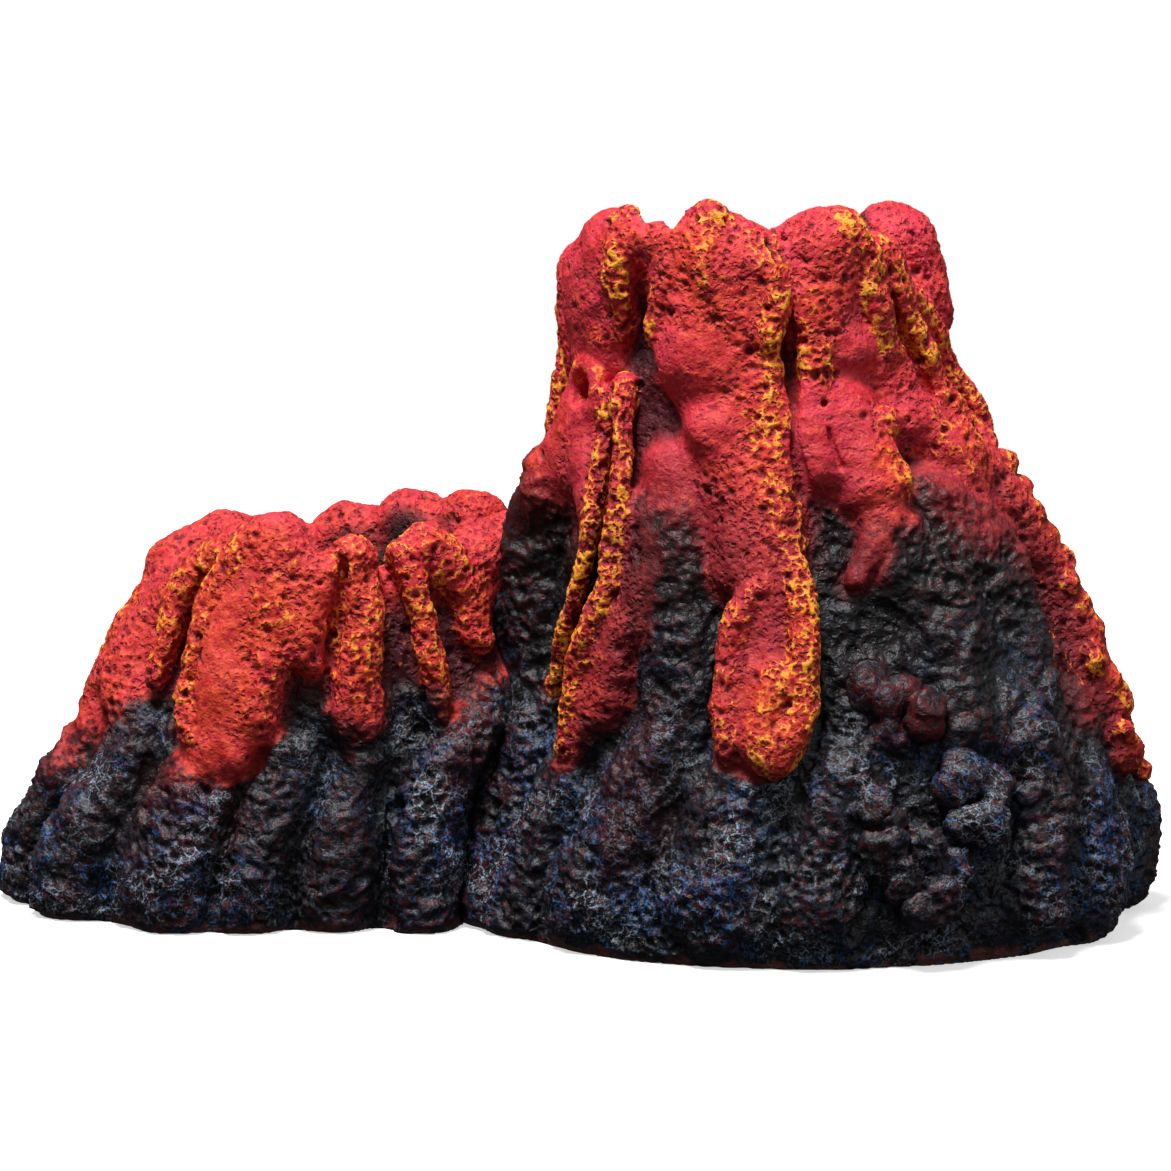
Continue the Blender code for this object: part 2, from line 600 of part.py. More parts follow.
def make_hoses(body):
    """The two branch hoses, the inlet hose, and the clips that hold the branches down."""
    run, rear = run_direction()
    reach = SOCKET_RADIUS + 0.6
    hose("branch_hose_main", (beside(TEE, run, 3.4), beside(MAIN_STONE, run, -reach)), body)
    hose("branch_hose_low", (beside(LOW_STONE, run, reach), beside(TEE, run, -3.4)), body)
    start = [beside(TEE, rear, distance) for distance in (3.8, 7.8, 11.8)]
    end = [(INLET_X, INLET_FRONT - distance) for distance in (9.0, 5.0, 0.6)]
    hose("inlet_hose", start + end, body)
    clip("hose_clip_bridge", beside(LOW_STONE, run, 26.0), run, body)
    clip("hose_clip_low", beside(LOW_STONE, run, 14.5), run, body)
    clip("hose_clip_main", beside(MAIN_STONE, run, -13.2), run, body)


def joint_frame(name, place, parent):
    """An empty on a joint's axis; the pieces that move hang under it."""
    empty = bpy.data.objects.new(name, None)
    bpy.context.collection.objects.link(empty)
    empty.location = Vector(place) * MM
    empty.parent = parent
    holder = bpy.data.objects.new(name + "_pieces", None)
    bpy.context.collection.objects.link(holder)
    holder.location = -Vector(place) * MM
    holder.parent = empty
    return holder


def main():
    clear_scene()
    whole = bpy.data.objects.new("ornament", None)
    bpy.context.collection.objects.link(whole)
    whole.location = Vector((-FRAME_CENTRE[0], -FRAME_CENTRE[1], 0)) * MM
    shell = joint_frame("shell_lift", (0, 0, 0), whole)
    main_stone = joint_frame("main_stone_pull", (*MAIN_STONE, SOCKET_TOP), whole)
    low_stone = joint_frame("low_stone_pull", (*LOW_STONE, SOCKET_TOP), whole)
    swivel = joint_frame("inlet_swivel", (INLET_X, INLET_REAR, PIPE_HEIGHT), whole)
    make_castings(shell)
    make_deck(whole)
    make_cups(whole)
    run = run_direction()[0]
    make_socket("main_socket", MAIN_STONE, -run, whole)
    make_socket("low_socket", LOW_STONE, run, whole)
    make_stone("main", MAIN_STONE, main_stone)
    make_stone("low", LOW_STONE, low_stone)
    make_tee(whole)
    make_inlet(whole, swivel)
    make_hoses(whole)


main()
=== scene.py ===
from itertools import product
from math import cos, radians, sin

import bpy
import numpy as np
import openvdb
from mathutils import Matrix, Vector


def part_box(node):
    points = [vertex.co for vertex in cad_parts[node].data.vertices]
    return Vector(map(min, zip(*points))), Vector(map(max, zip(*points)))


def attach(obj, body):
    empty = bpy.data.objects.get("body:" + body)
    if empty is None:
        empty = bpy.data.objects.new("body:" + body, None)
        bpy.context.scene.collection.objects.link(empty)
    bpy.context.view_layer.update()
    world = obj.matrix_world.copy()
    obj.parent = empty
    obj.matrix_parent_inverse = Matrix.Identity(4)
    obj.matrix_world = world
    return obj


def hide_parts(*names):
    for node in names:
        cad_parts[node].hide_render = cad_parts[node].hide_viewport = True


# Looks of the bubbling volcano ornament. Both castings are sculpted as distance fields: a smooth
# cone, with lava flows, lobes and rubble melted onto it, meshed finely and then pitted like foam.
# Sculpting is in millimetres; azimuths are in degrees round a casting's axis: 0 is the front (-Y).

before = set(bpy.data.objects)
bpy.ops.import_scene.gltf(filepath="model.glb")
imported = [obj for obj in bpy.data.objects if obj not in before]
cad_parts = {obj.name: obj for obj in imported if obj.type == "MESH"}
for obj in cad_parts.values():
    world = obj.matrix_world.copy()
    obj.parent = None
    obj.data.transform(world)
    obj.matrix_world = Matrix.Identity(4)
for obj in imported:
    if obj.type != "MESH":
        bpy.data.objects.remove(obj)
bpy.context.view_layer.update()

MM = 0.001
COARSE = 0.80  # spacing of the first mesh, which is halved on the painted side
BAND = 15.0  # how far from the smooth cone the surface can lie
FAR = 5.0  # distances are cut off here in the grid that is meshed
PROBE = np.float32(0.3)  # step outwards that measures how fast the distance grows
SEAM = 0.05  # how far the low crater keeps from the tall cone
CAMERA_TARGET = Vector((0, 0, 0.0589))
CAMERA_DISTANCE = 1.15
CAMERA_ELEVATION = radians(9.0)
FRAME_WIDTH = 0.2111  # metres that the picture spans at the target
FLOOR_REACH = 0.6


# ---- noise

def random_table(seed, shape, low=-1.0, high=1.0):
    """Random numbers that are the same in every run."""
    return np.random.default_rng(seed).uniform(low, high, shape).astype(np.float32)


def turned_grid(k):
    """A rotation that keeps a noise's grid off the axes."""
    axis = Vector((1.0 + k, 2.0 - k, 0.5 + 0.3 * k)).normalized()
    return np.array(Matrix.Rotation(1.1 + k, 3, axis), np.float32)


TURNS = [turned_grid(k) for k in range(4)]


def noise(points, size, seed):
    """Smooth noise between -1 and 1 whose grain is about one size."""
    table = random_table(seed, (64, 64, 64))
    place = points @ TURNS[seed % 4] / np.float32(size)
    whole = np.floor(place)
    t = place - whole
    t = t * t * (3 - 2 * t)
    near = whole.astype(np.int32) & 63
    far = (near + 1) & 63
    total = 0
    for x, y, z in product((0, 1), repeat=3):
        weight = (t[:, 0] if x else 1 - t[:, 0]) * (t[:, 1] if y else 1 - t[:, 1])
        weight = weight * (t[:, 2] if z else 1 - t[:, 2])
        total = total + weight * table[(far if x else near)[:, 0], (far if y else near)[:, 1],
                                       (far if z else near)[:, 2]]
    return total


def fractal(points, size, octaves, seed):
    """Soft noise with finer noise on top, between -1 and 1."""
    total, weight, scale = 0, 1.0, 0.0
    for octave in range(octaves):
        total = total + weight * noise(points, size, seed + octave)
        scale += weight
        weight *= 0.5
        size /= 2.03
    return total / scale


def crags(points, size, octaves, seed):
    """Noise with sharp crests, between about -1 and 1."""
    total, weight, scale = 0, 1.0, 0.0
    for octave in range(octaves):
        total = total + weight * (1 - 2.2 * np.abs(noise(points, size, seed + octave)))
        scale += weight
        weight *= 0.55
        size /= 2.1
    return total / scale


def cells(points, size, seed):
    """Jittered cells: distance to the nearest centre, gap to the next, and the cell's own number."""
    jitter = random_table(seed, (32, 32, 32, 3), 0.0, 1.0)
    number = random_table(seed + 1, (32, 32, 32), 0.0, 1.0)
    place = points / np.float32(size)
    whole = np.floor(place).astype(np.int32)
    first = np.full(len(points), 9, np.float32)
    second = first.copy()
    tag = np.zeros(len(points), np.float32)
    for step in product((-1, 0, 1), repeat=3):
        cell = whole + np.array(step, np.int32)
        slot = cell & 31
        centre = cell + jitter[slot[:, 0], slot[:, 1], slot[:, 2]]
        away = np.sqrt(((place - centre) ** 2).sum(1))
        closer = away < first
        second = np.where(closer, first, np.minimum(second, away))
        tag = np.where(closer, number[slot[:, 0], slot[:, 1], slot[:, 2]], tag)
        first = np.where(closer, away, first)
    return first, second - first, tag


def ramp(value, start, end):
    """0 before the start and 1 past the end, eased between."""
    t = np.clip((value - start) / (end - start), 0, 1)
    return t * t * (3 - 2 * t)


def melt(a, b, soft):
    """Smooth union of two distances."""
    t = np.clip(0.5 + 0.5 * (b - a) / soft, 0, 1)
    return b + (a - b) * t - soft * t * (1 - t)


def carve(a, b, soft):
    """Distance a with the solid of distance b taken out of it."""
    return -melt(-a, b, soft)


def chain(points, line, radius):
    """Distance to a row of tapering rods."""
    best = np.full(len(points), 99, np.float32)
    for k in range(len(line) - 1):
        run = line[k + 1] - line[k]
        t = np.clip(((points - line[k]) @ run) / (run @ run + 1e-9), 0, 1)
        away = np.sqrt(((points - line[k] - t[:, None] * run) ** 2).sum(1))
        best = np.minimum(best, away - radius[k] - t * (radius[k + 1] - radius[k]))
    return best


def smooth_rows(rows, steps):
    """Rows on a Catmull-Rom curve through the given ones."""
    count = len(rows)
    fine = []
    for k in range(count - 1):
        before, start = rows[max(k - 1, 0)], rows[k]
        end, after = rows[k + 1], rows[min(k + 2, count - 1)]
        for step in range(steps):
            t = step / steps
            fine.append(0.5 * (2 * start + (end - before) * t
                               + (2 * before - 5 * start + 4 * end - after) * t * t
                               + (3 * start - before - 3 * end + after) * t ** 3))
    fine.append(rows[-1])
    return np.array(fine, np.float32)


# ---- castings

class Casting:
    """A hollow cone, read from stations, with its lip, its flows and the edge of its red paint."""

    def __init__(self, node, height, right, middle_y, stations, lip, edge, wall, mouth, warm):
        low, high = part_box(node)
        self.node = node
        self.unit = (high[2] - low[2]) / (height * MM)  # the frame's size over the design's
        self.shift = np.array([high[0] / MM - right * self.unit,
                               (low[1] + high[1]) / 2 / MM - middle_y * self.unit, low[2] / MM],
                              np.float32)
        rows = np.array(stations, np.float32)
        self.heights = np.linspace(0, rows[-1, 0], 400)
        slopes = np.gradient(rows[:, 1:], rows[:, 0], axis=0)
        row = np.clip(np.searchsorted(rows[:, 0], self.heights, side="right") - 1, 0, len(rows) - 2)
        span = (rows[row + 1, 0] - rows[row, 0])[:, None]
        t = (self.heights[:, None] - rows[row, :1]) / span
        self.columns = ((2 * t ** 3 - 3 * t ** 2 + 1) * rows[row, 1:]
                        + span * (t ** 3 - 2 * t ** 2 + t) * slopes[row]
                        + (3 * t ** 2 - 2 * t ** 3) * rows[row + 1, 1:]
                        + span * (t ** 3 - t ** 2) * slopes[row + 1])
        self.lip = np.array(lip, np.float32)
        self.edge = np.array(edge, np.float32)
        self.wall, self.mouth, self.warm = wall, mouth, warm
        self.flows = []
        self.cuts = []

    def section(self, heights):
        """Centre x and y, reach left, half depth and reach right at some heights."""
        found = [np.interp(heights, self.heights, self.columns[:, k]) for k in range(5)]
        return [values.astype(np.float32) for values in found]

    def spot(self, azimuth, height, out):
        """A point that far outside the smooth cone."""
        x, y, left, depth, right = [float(v) for v in self.section(np.array([height]))]
        turn = radians(azimuth)
        reach = right if sin(turn) > 0 else left
        place = [x + (reach + out) * sin(turn), y - (depth + out) * cos(turn), height]
        return np.array(place, np.float32)

    def azimuths(self, points):
        """Degrees round the axis, from the front."""
        x, y, left, depth, right = self.section(points[:, 2])
        across = points[:, 0] - x
        across = across / np.where(across > 0, right, left)
        return np.degrees(np.arctan2(across, (y - points[:, 1]) / depth))

    def lip_height(self, azimuth):
        """How high the mouth's rim is before the lobes are added."""
        return np.interp(azimuth, self.lip[:, 0], self.lip[:, 1]).astype(np.float32)

    def cone(self, points, thinner=0.0, even=False):
        """Distance to the smooth cone's side; even takes the left reach on both sides."""
        x, y, left, depth, right = self.section(points[:, 2])
        across = points[:, 0] - x
        along = points[:, 1] - y
        reach = left if even else np.where(across > 0, right, left)
        reach = reach - thinner
        depth = depth - thinner
        unit = np.sqrt((across / reach) ** 2 + (along / depth) ** 2) + 1e-6
        steep = np.sqrt((across / reach ** 2) ** 2 + (along / depth ** 2) ** 2) + 1e-6
        return 0.93 * unit * (unit - 1) / steep

    def cavity(self, points):
        """Distance to the hollow inside, which narrows towards the mouth."""
        share = points[:, 2] / self.lip_height(self.azimuths(points))
        thick = self.wall + (self.mouth - self.wall) * ramp(share, 0.72, 0.93)
        return self.cone(points, thick, even=True)

    def flow(self, *track, soft=2.8, red=1.0, crest=0.0, porous=0.5, smooth=0.0, spread=4.5,
             fade=0.0, into=None):
        """A tapering ridge along (azimuth, height, radius, how far it stands out).

        Its red paint spreads that far past it, and fades out over the last millimetres of height.
        """
        rows = np.array(track, np.float32)
        if len(rows) == 1:
            rows = np.vstack([rows, rows + np.float32([0, 0.01, 0, 0])])
        rows = smooth_rows(rows, 1 if len(track) == 1 else 5)
        line = np.array([self.spot(a, z, out - r) for a, z, r, out in rows])
        shape = dict(line=line, radius=rows[:, 2], soft=soft, red=red, crest=crest, porous=porous,
                     smooth=smooth, spread=spread, fade=fade)
        (self.flows if into is None else into).append(shape)

    # flows of four kinds: pitted and red, yellow-crested, smooth and red, black
    def lava(self, *track, **more):
        self.flow(*track, **{**dict(porous=0.8, soft=4.0), **more})

    def ridge(self, *track, **more):
        self.flow(*track, **{**dict(crest=1.0, porous=1.0, soft=2.2), **more})

    def skin(self, *track, **more):
        self.flow(*track, **{**dict(porous=0.35, smooth=0.55, soft=3.6), **more})

    def rock(self, *track, **more):
        self.flow(*track, **{**dict(red=0.0, porous=0.0, soft=3.6), **more})

    def cut(self, *track, soft=1.5):
        """A groove or hole along (azimuth, height, radius, how far out its centre line is)."""
        rows = [(a, z, r, out + r) for a, z, r, out in track]
        self.flow(*rows, soft=soft, into=self.cuts)

    def bend(self, points):
        """The points, pushed about so that nothing is quite straight or round."""
        wide = np.stack([noise(points, 17, seed) for seed in (11, 12, 13)], 1)
        points = points + np.float32(0.9) * wide
        tight = np.stack([noise(points, 6.5, seed) for seed in (14, 15, 16)], 1)
        return points + np.float32(0.45) * tight

    def distance(self, points):
        """Signed distance to the sculpted casting; points and result are in design millimetres."""
        side = self.cone(points)
        value = np.abs(side)
        near = np.flatnonzero(value < BAND)
        close = self.bend(points[near])
        found = self.cone(close)
        found = carve(found, self.lip_height(self.azimuths(close)) - close[:, 2], 7.0)
        for shape in self.flows:
            combine(close, found, shape, melt)
        for shape in self.cuts:
            combine(close, found, shape, carve)
        value[near] = carve(found, self.cavity(close), 4.0)
        return value


def within(points, shape, margin):
    """Indices of the points near a shape."""
    reach = shape["radius"].max() + margin
    low = shape["line"].min(0) - reach
    high = shape["line"].max(0) + reach
    return np.flatnonzero(((points > low) & (points < high)).all(1))


def combine(points, value, shape, how):
    """Melts a shape onto the distances, or carves it out of them."""
    here = within(points, shape, 3.5)
    if len(here):
        away = chain(points[here], shape["line"], shape["radius"])
        value[here] = how(value[here], away, shape["soft"])


def sculpt_tall_cone():
    """The right-hand cone, its flows in order round and down it."""
    c = Casting(
        "main_cone", height=130.73, right=106.96, middle_y=-0.31,
        stations=(
            (0, 41.5, 0, 57.5, 50.5, 55.5), (8, 43.5, 0, 57, 50.5, 55.5),
            (22, 45, 0, 54.5, 48.5, 53), (41, 44, 0, 48, 45, 48.5),
            (60, 40, 0, 43.5, 40, 44.5), (75, 36.4, 0, 39, 36, 40.5),
            (88, 33.8, 0, 33.8, 32, 35), (102, 31.8, 0, 30, 29, 30.5),
            (116, 30.8, 0, 28.6, 27.5, 28.8), (136, 30.8, 0, 26.5, 25.5, 26.5)),
        lip=((-180, 107), (-150, 106), (-110, 110), (-90, 114), (-60, 121), (-44, 121), (-36, 114),
             (-28, 118), (-10, 123), (5, 120), (13, 112), (24, 121), (50, 116), (80, 112), (105, 118),
             (125, 110), (180, 107)),
        edge=((-180, 66), (-150, 60), (-120, 72), (-95, 90), (-80, 86), (-66, 76), (-52, 74),
              (-42, 74), (-34, 84), (-24, 82), (-16, 66), (0, 66), (7, 76), (12, 86), (22, 80),
              (36, 84), (48, 78), (62, 76), (80, 70), (110, 74), (140, 64), (180, 66)),
        wall=4.6, mouth=8.0, warm=0.0)
    # lobes of the lip, left to right, with the ridges that run down from them
    c.lava((-88, 116, 6, 4.6), (-88, 106, 6.5, 5), (-84, 98, 5, 2.6))
    c.skin((-56, 121, 7, 6.4), (-60, 111, 7.5, 6.2), (-60, 103, 6, 4.2))
    c.skin((-70, 118, 5, 5.4), (-72, 108, 5, 5), (-70, 100, 4, 3.6))
    c.lava((-43, 124, 4.2, 5.6), (-44, 116, 3.8, 4.8), (-47, 108, 3, 3.6))
    c.ridge((-45, 126, 3, 5.6), (-45, 120, 2, 7), (-45, 112, 1.6, 6), (-46, 108, 1.4, 4.8))
    c.lava((-32, 123, 4.6, 5.6), (-30, 119, 4, 4.8), (-31, 114, 3, 3.6))
    c.ridge((-27, 119, 1.8, 4.6), (-30, 114, 1.9, 5.4), (-34, 109, 1.9, 5.2), (-37, 104, 1.6, 4.2))
    c.lava((-17, 123, 7, 6.4), (-18, 112, 7.5, 6.6), (-19, 102, 7, 5.6))
    c.lava((-5, 121, 7, 6), (-5, 110, 7.5, 6), (-7, 98, 8, 5.4), (-9, 86, 8, 5))
    c.ridge((-13, 128, 3.2, 6.2), (-14, 122, 2.4, 7.4), (-14, 117, 1.8, 7.2))
    c.ridge((2, 124, 3.6, 5.4), (5, 119, 2.6, 6.6), (6, 113, 2.2, 7), (4, 107, 2, 7))
    c.flow((3, 102, 3, 6.2), (1, 92, 3.6, 6.6), (-2, 82, 4.4, 6.6), (-3, 73, 4.6, 6), crest=0.85,
           porous=1.0, soft=2.0)
    c.lava((24, 122, 7.5, 6.4), (23, 113, 7.5, 6), (24, 104, 6, 4.4))
    c.ridge((33, 126, 4, 5.4), (38, 120, 3, 6.4), (40, 113, 2.6, 6.4), (43, 105, 2.2, 5.4))
    c.lava((50, 119, 6, 5), (56, 110, 5.5, 4.8), (62, 98, 5, 4.4), (64, 88, 5, 4.2))
    c.ridge((46, 122, 2.4, 5.2), (51, 114, 1.9, 6), (56, 106, 1.8, 6), (62, 97, 1.8, 6.2),
            (64, 90, 1.8, 6), (62, 84, 1.8, 5.4))
    c.ridge((61, 113, 2, 5.4), (70, 105, 1.9, 6.2), (76, 97, 1.9, 6.6), (78, 91, 2, 7),
            (76, 86, 1.8, 6))
    c.lava((76, 108, 5, 4.2), (82, 98, 4.5, 4.6), (84, 90, 4, 4.6))
    c.lava((104, 120, 8, 6.4), (101, 113, 7, 7.4), (98, 108, 4.6, 6.6))
    c.ridge((18, 116, 2.6, 5.4), (19, 110, 2.8, 6.4), (18, 103, 2.6, 6.4), (17, 99, 2.2, 5.4))
    # bulges below the lip
    c.skin((-17, 104, 6.8, 7.4))
    c.skin((-14, 92, 4.6, 7))
    c.skin((30, 105, 4.2, 5.6))
    c.flow((13, 95, 5.5, 5), (12, 88, 5.6, 6), (12, 85, 4.6, 5.6), porous=0.3, smooth=0.5)
    c.flow((25, 95, 6, 5.2), (25, 88, 6.6, 6.4), (24, 82, 5.6, 6.4), porous=0.3, smooth=0.5)
    c.flow((24, 80, 3.5, 5.6), (27, 78, 3, 5), porous=0.5)
    c.flow((34, 92, 3, 7), crest=0.9, porous=0.8, soft=1.3)
    c.flow((30, 87, 2.6, 7.2), (31, 83, 3.2, 7.2), crest=0.75, porous=0.5)
    c.lava((46, 100, 5, 4.2), (46, 92, 4.5, 4.2))
    c.flow((52, 92, 4.5, 4.6), (56, 85, 4.2, 6.2), (58, 80, 3.2, 5.2), crest=0.6, porous=0.5)
    c.flow((24, 78, 2, 4.2), (19, 73, 1.7, 5), (13, 67, 1.5, 4.2), red=0.75, porous=0.2)
    c.rock((26, 73, 5.5, 5), (24, 68, 5, 4.4))
    c.rock((44, 78, 5.5, 4.4), (44, 70, 5.5, 4.2))
    # eye-like vent and the flows under it
    c.flow((-58, 106, 4, 4.8), crest=0.9, porous=0.4)
    for turn in range(0, 360, 30):
        c.flow((-63 + 7.0 * sin(radians(turn)), 96.4 + 4.8 * cos(radians(turn)), 1.5, 4.8), soft=1.6,
               crest=0.4 + 0.4 * cos(radians(turn)), porous=0.0, smooth=1.0)
    c.skin((-62, 90, 4, 4.6), (-58, 83, 4.8, 5.6), (-54, 76, 3.6, 5.2))
    c.lava((-68, 92, 3.6, 4.2), (-68, 82, 3.6, 4.2))
    c.ridge((-50, 96, 1.8, 4.4), (-50, 88, 1.6, 5.4), (-50, 82, 1.5, 5.6), (-51, 75, 1.5, 5.6),
            (-54, 68, 1.5, 5.4), (-57, 61, 1.5, 5.2), (-64, 52, 1.8, 5.4), (-70, 44, 2, 5.4))
    c.ridge((-45, 98, 2, 4.6), (-42, 92, 2, 5.8), (-41, 84, 1.7, 5.8), (-42, 76, 1.7, 5.6),
            (-44, 70, 1.8, 5.8), (-46, 64, 1.9, 6.2), (-50, 58, 2, 6.8), (-55, 51, 2.2, 7.2),
            (-57, 45, 2.2, 7.2), (-59, 39, 2, 6.6), (-60, 34, 1.6, 5.6))
    c.flow((-38, 76, 4, 3.6), (-38, 66, 4.6, 4.2), (-40, 58, 4, 4.4), red=0.55, porous=1.0)
    c.flow((-43, 58, 3.4, 4.6), (-48, 50, 4.6, 5.6), (-53, 42, 4.6, 5.8), (-58, 35, 3, 4.8),
           porous=0.6, crest=0.2, spread=3.0, fade=8)
    # the centre flow
    c.lava((-8, 82, 8.5, 5), (-9, 74, 8.5, 5), (-10, 68, 7, 5))
    c.flow((-6, 66, 5, 5.4), (-9, 56, 5.6, 5.8), (-13, 47, 6, 6.2), (-15, 39, 5.4, 6.2),
           porous=0.3, smooth=0.4, spread=2.6)
    c.flow((-8, 66, 1.8, 6.6), (-13, 62, 2, 6.8), (-16, 56, 2.2, 6.8), (-18, 50, 2.4, 6.8),
           (-20, 44, 2.8, 6.6), (-20, 38, 2.6, 6), crest=0.6, porous=0.7, soft=2.0, spread=2.6)
    c.flow((0, 70, 2, 6.4), (0, 65, 2.4, 7.4), (-1, 57, 2.6, 7.8), (-4, 48, 2.8, 7.8),
           (-7, 41, 2.8, 7.4), (-10, 36, 2.6, 6.8), crest=0.95, porous=0.8, soft=2.0, spread=2.6)
    c.flow((-9, 50, 2.6, 7.4), (-12, 44, 2.6, 8), (-12, 38, 2.8, 8), crest=0.9, porous=0.6,
           spread=2.6)
    # the right-hand edge flow, with scallops
    c.flow((68, 84, 3, 4.4), (72, 77, 4.6, 5.6), (77, 66, 5.2, 6.2), (79, 54, 5.4, 6.4),
           (79, 42, 5, 6.4), (77, 31, 3.6, 5.8), red=0.9, crest=0.15, porous=0.7, spread=15,
           soft=5.0, fade=8)
    for k in range(14):
        azimuth = 77 + 2.5 * sin(2.1 * k)
        radius = 2.2 + 0.5 * sin(3.3 * k)
        out = 7.4 + 0.4 * sin(5.1 * k)
        c.flow((azimuth, 82 - 4.2 * k, radius, out), crest=0.8, porous=0.8, soft=1.6)
    # black ribs of the flank
    c.rock((34, 64, 8, 4.6), (34, 52, 8, 4.4), (32, 40, 7, 4))
    c.rock((54, 72, 7, 4), (54, 60, 7, 4.4), (52, 48, 7, 4.2), (50, 30, 7, 4.6))
    c.rock((-30, 84, 5, 3.4), (-30, 66, 5.5, 4), (-32, 48, 7, 4))
    c.rock((-33, 40, 6, 4), (-37, 33, 7, 5), (-42, 24, 8, 5.6), (-47, 10, 9, 5.4))
    c.rock((-62, 26, 7, 3.8), (-66, 14, 8, 4.6), (-68, 2, 8, 4.8))
    c.rock((-20, 28, 8, 4.4), (-20, 10, 10, 5.2))
    c.rock((2, 32, 8, 3.6), (-2, 12, 10, 4.8))
    c.rock((42, 44, 4.5, 4.4), (42, 30, 5, 5), (40, 10, 6, 5.2))
    c.rock((62, 40, 6, 3.6), (60, 22, 8, 4.6), (60, 6, 8, 4.6))
    c.rock((96, 28, 6, 3.4), (96, 18, 7.5, 5.2), (94, 6, 8, 4.8))
    c.rock((-72, 90, 5, 5), (-80, 80, 6, 7), (-88, 70, 8, 9.2), (-90, 58, 9, 10),
           (-88, 42, 10, 9.6), (-84, 24, 11, 9), (-80, 4, 10, 8))
    # rubble at the lower right
    crumbs = np.random.default_rng(7)
    for azimuth, height, radius, out in (
            (10, 47, 4, 2.6), (15, 46, 4.2, 3.4), (21, 44, 3.4, 5.6), (13, 40, 3.6, 2.6),
            (23, 33, 4, 5.6), (30, 31, 3.8, 6.2), (26, 26, 4.2, 7), (8, 27, 4.2, 6),
            (8, 22, 4.2, 6.6), (15, 21, 4, 7.2), (12, 16, 4, 6.4), (17, 12, 4.4, 7.8),
            (3, 33, 4, 3.6), (20, 18, 3.2, 5.4)):
        for k in range(4):
            side, up, size, more = crumbs.uniform(-1, 1, 4)
            stone = (azimuth + 2.4 * side, height + 2.2 * up, radius * (0.62 + 0.12 * size),
                     out + 0.8 * more)
            red = 0.2 if k < 2 and height > 37 else 0.0
            c.flow(stone, red=red, soft=1.3, porous=0.0)
    for k in range(9):
        c.rock((39 + sin(2.3 * k), 44 - 3.1 * k, 1.5, 5.2), (43, 45 - 3.1 * k, 1.9, 6.2),
               (47 - sin(1.7 * k), 43.6 - 3.1 * k, 1.5, 5.2), soft=1.2)
    # the back: lobes and flows like the front's
    for azimuth, top, low, out, ridge, end in (
            (124, 110, 56, 4.6, 9, 20), (148, 111, 72, 5, 6, 2), (168, 110, 48, 4.8, -5, 14),
            (-166, 110, 64, 5, 9, 24), (-146, 111, 44, 5.2, 4, 6), (-126, 112, 68, 4.8, -7, 12),
            (-106, 115, 80, 4.4, 7, 4)):
        middle = 0.5 * (top + low)
        c.lava((azimuth, top, 7, 5.6), (azimuth + ridge / 3, middle + 12, 6, out),
               (azimuth - ridge / 4, middle, 5, out), (azimuth + ridge / 6, low, 4, out))
        c.ridge((azimuth + ridge, top - abs(ridge), 2.4, 5.8),
                (azimuth + 1.3 * ridge, top - 25, 2, 6),
                (azimuth + 0.6 * ridge, low + end, 1.8, 5.6))
    for azimuth in (112, 136, 158, -176, -154, -132):
        c.rock((azimuth, 58, 7, 2.4), (azimuth + 3, 34, 8, 4.4), (azimuth, 6, 9, 4.6))
    # grooves and holes
    c.cut((15, 130, 3.4, -1.5), (15, 122, 2.6, 0.5), (13, 115, 2.2, 1.4), (12, 108, 2.2, 1.6),
          (10, 99, 1.8, 2.2), (8, 91, 1.6, 3), (6, 82, 2, 3))
    c.cut((-36, 128, 3.8, -1), (-38, 120, 3.6, 0.6), (-38, 112, 3.6, 1.2), (-41, 104, 3, 1.6),
          soft=2.5)
    c.cut((-25, 127, 2, 2), (-24, 120, 1.8, 3), (-26, 112, 1.4, 3.4))
    c.cut((-63, 96.4, 3.2, 0.5), (-63, 96.4, 3.2, 4.5), soft=1.0)
    c.cut((16.5, 96.3, 1.2, 4), soft=0.5)
    c.cut((47, 115, 1.4, 3.4), (52, 104, 1.5, 3.2), (56, 96, 1.4, 3))
    c.cut((64, 62, 4, 2.4), (62, 48, 5, 2.6), (60, 34, 4, 3.2), soft=4.0)
    c.cut((-46, 86, 1.2, 3), (-46, 78, 1.8, 2.2), (-48, 70, 2, 2.2), (-51, 63, 1.8, 2.6),
          (-58, 53, 1.6, 3.4))
    c.cut((16, 92, 0.5, 5.2), (17, 86, 0.7, 5), soft=0.6)
    return c


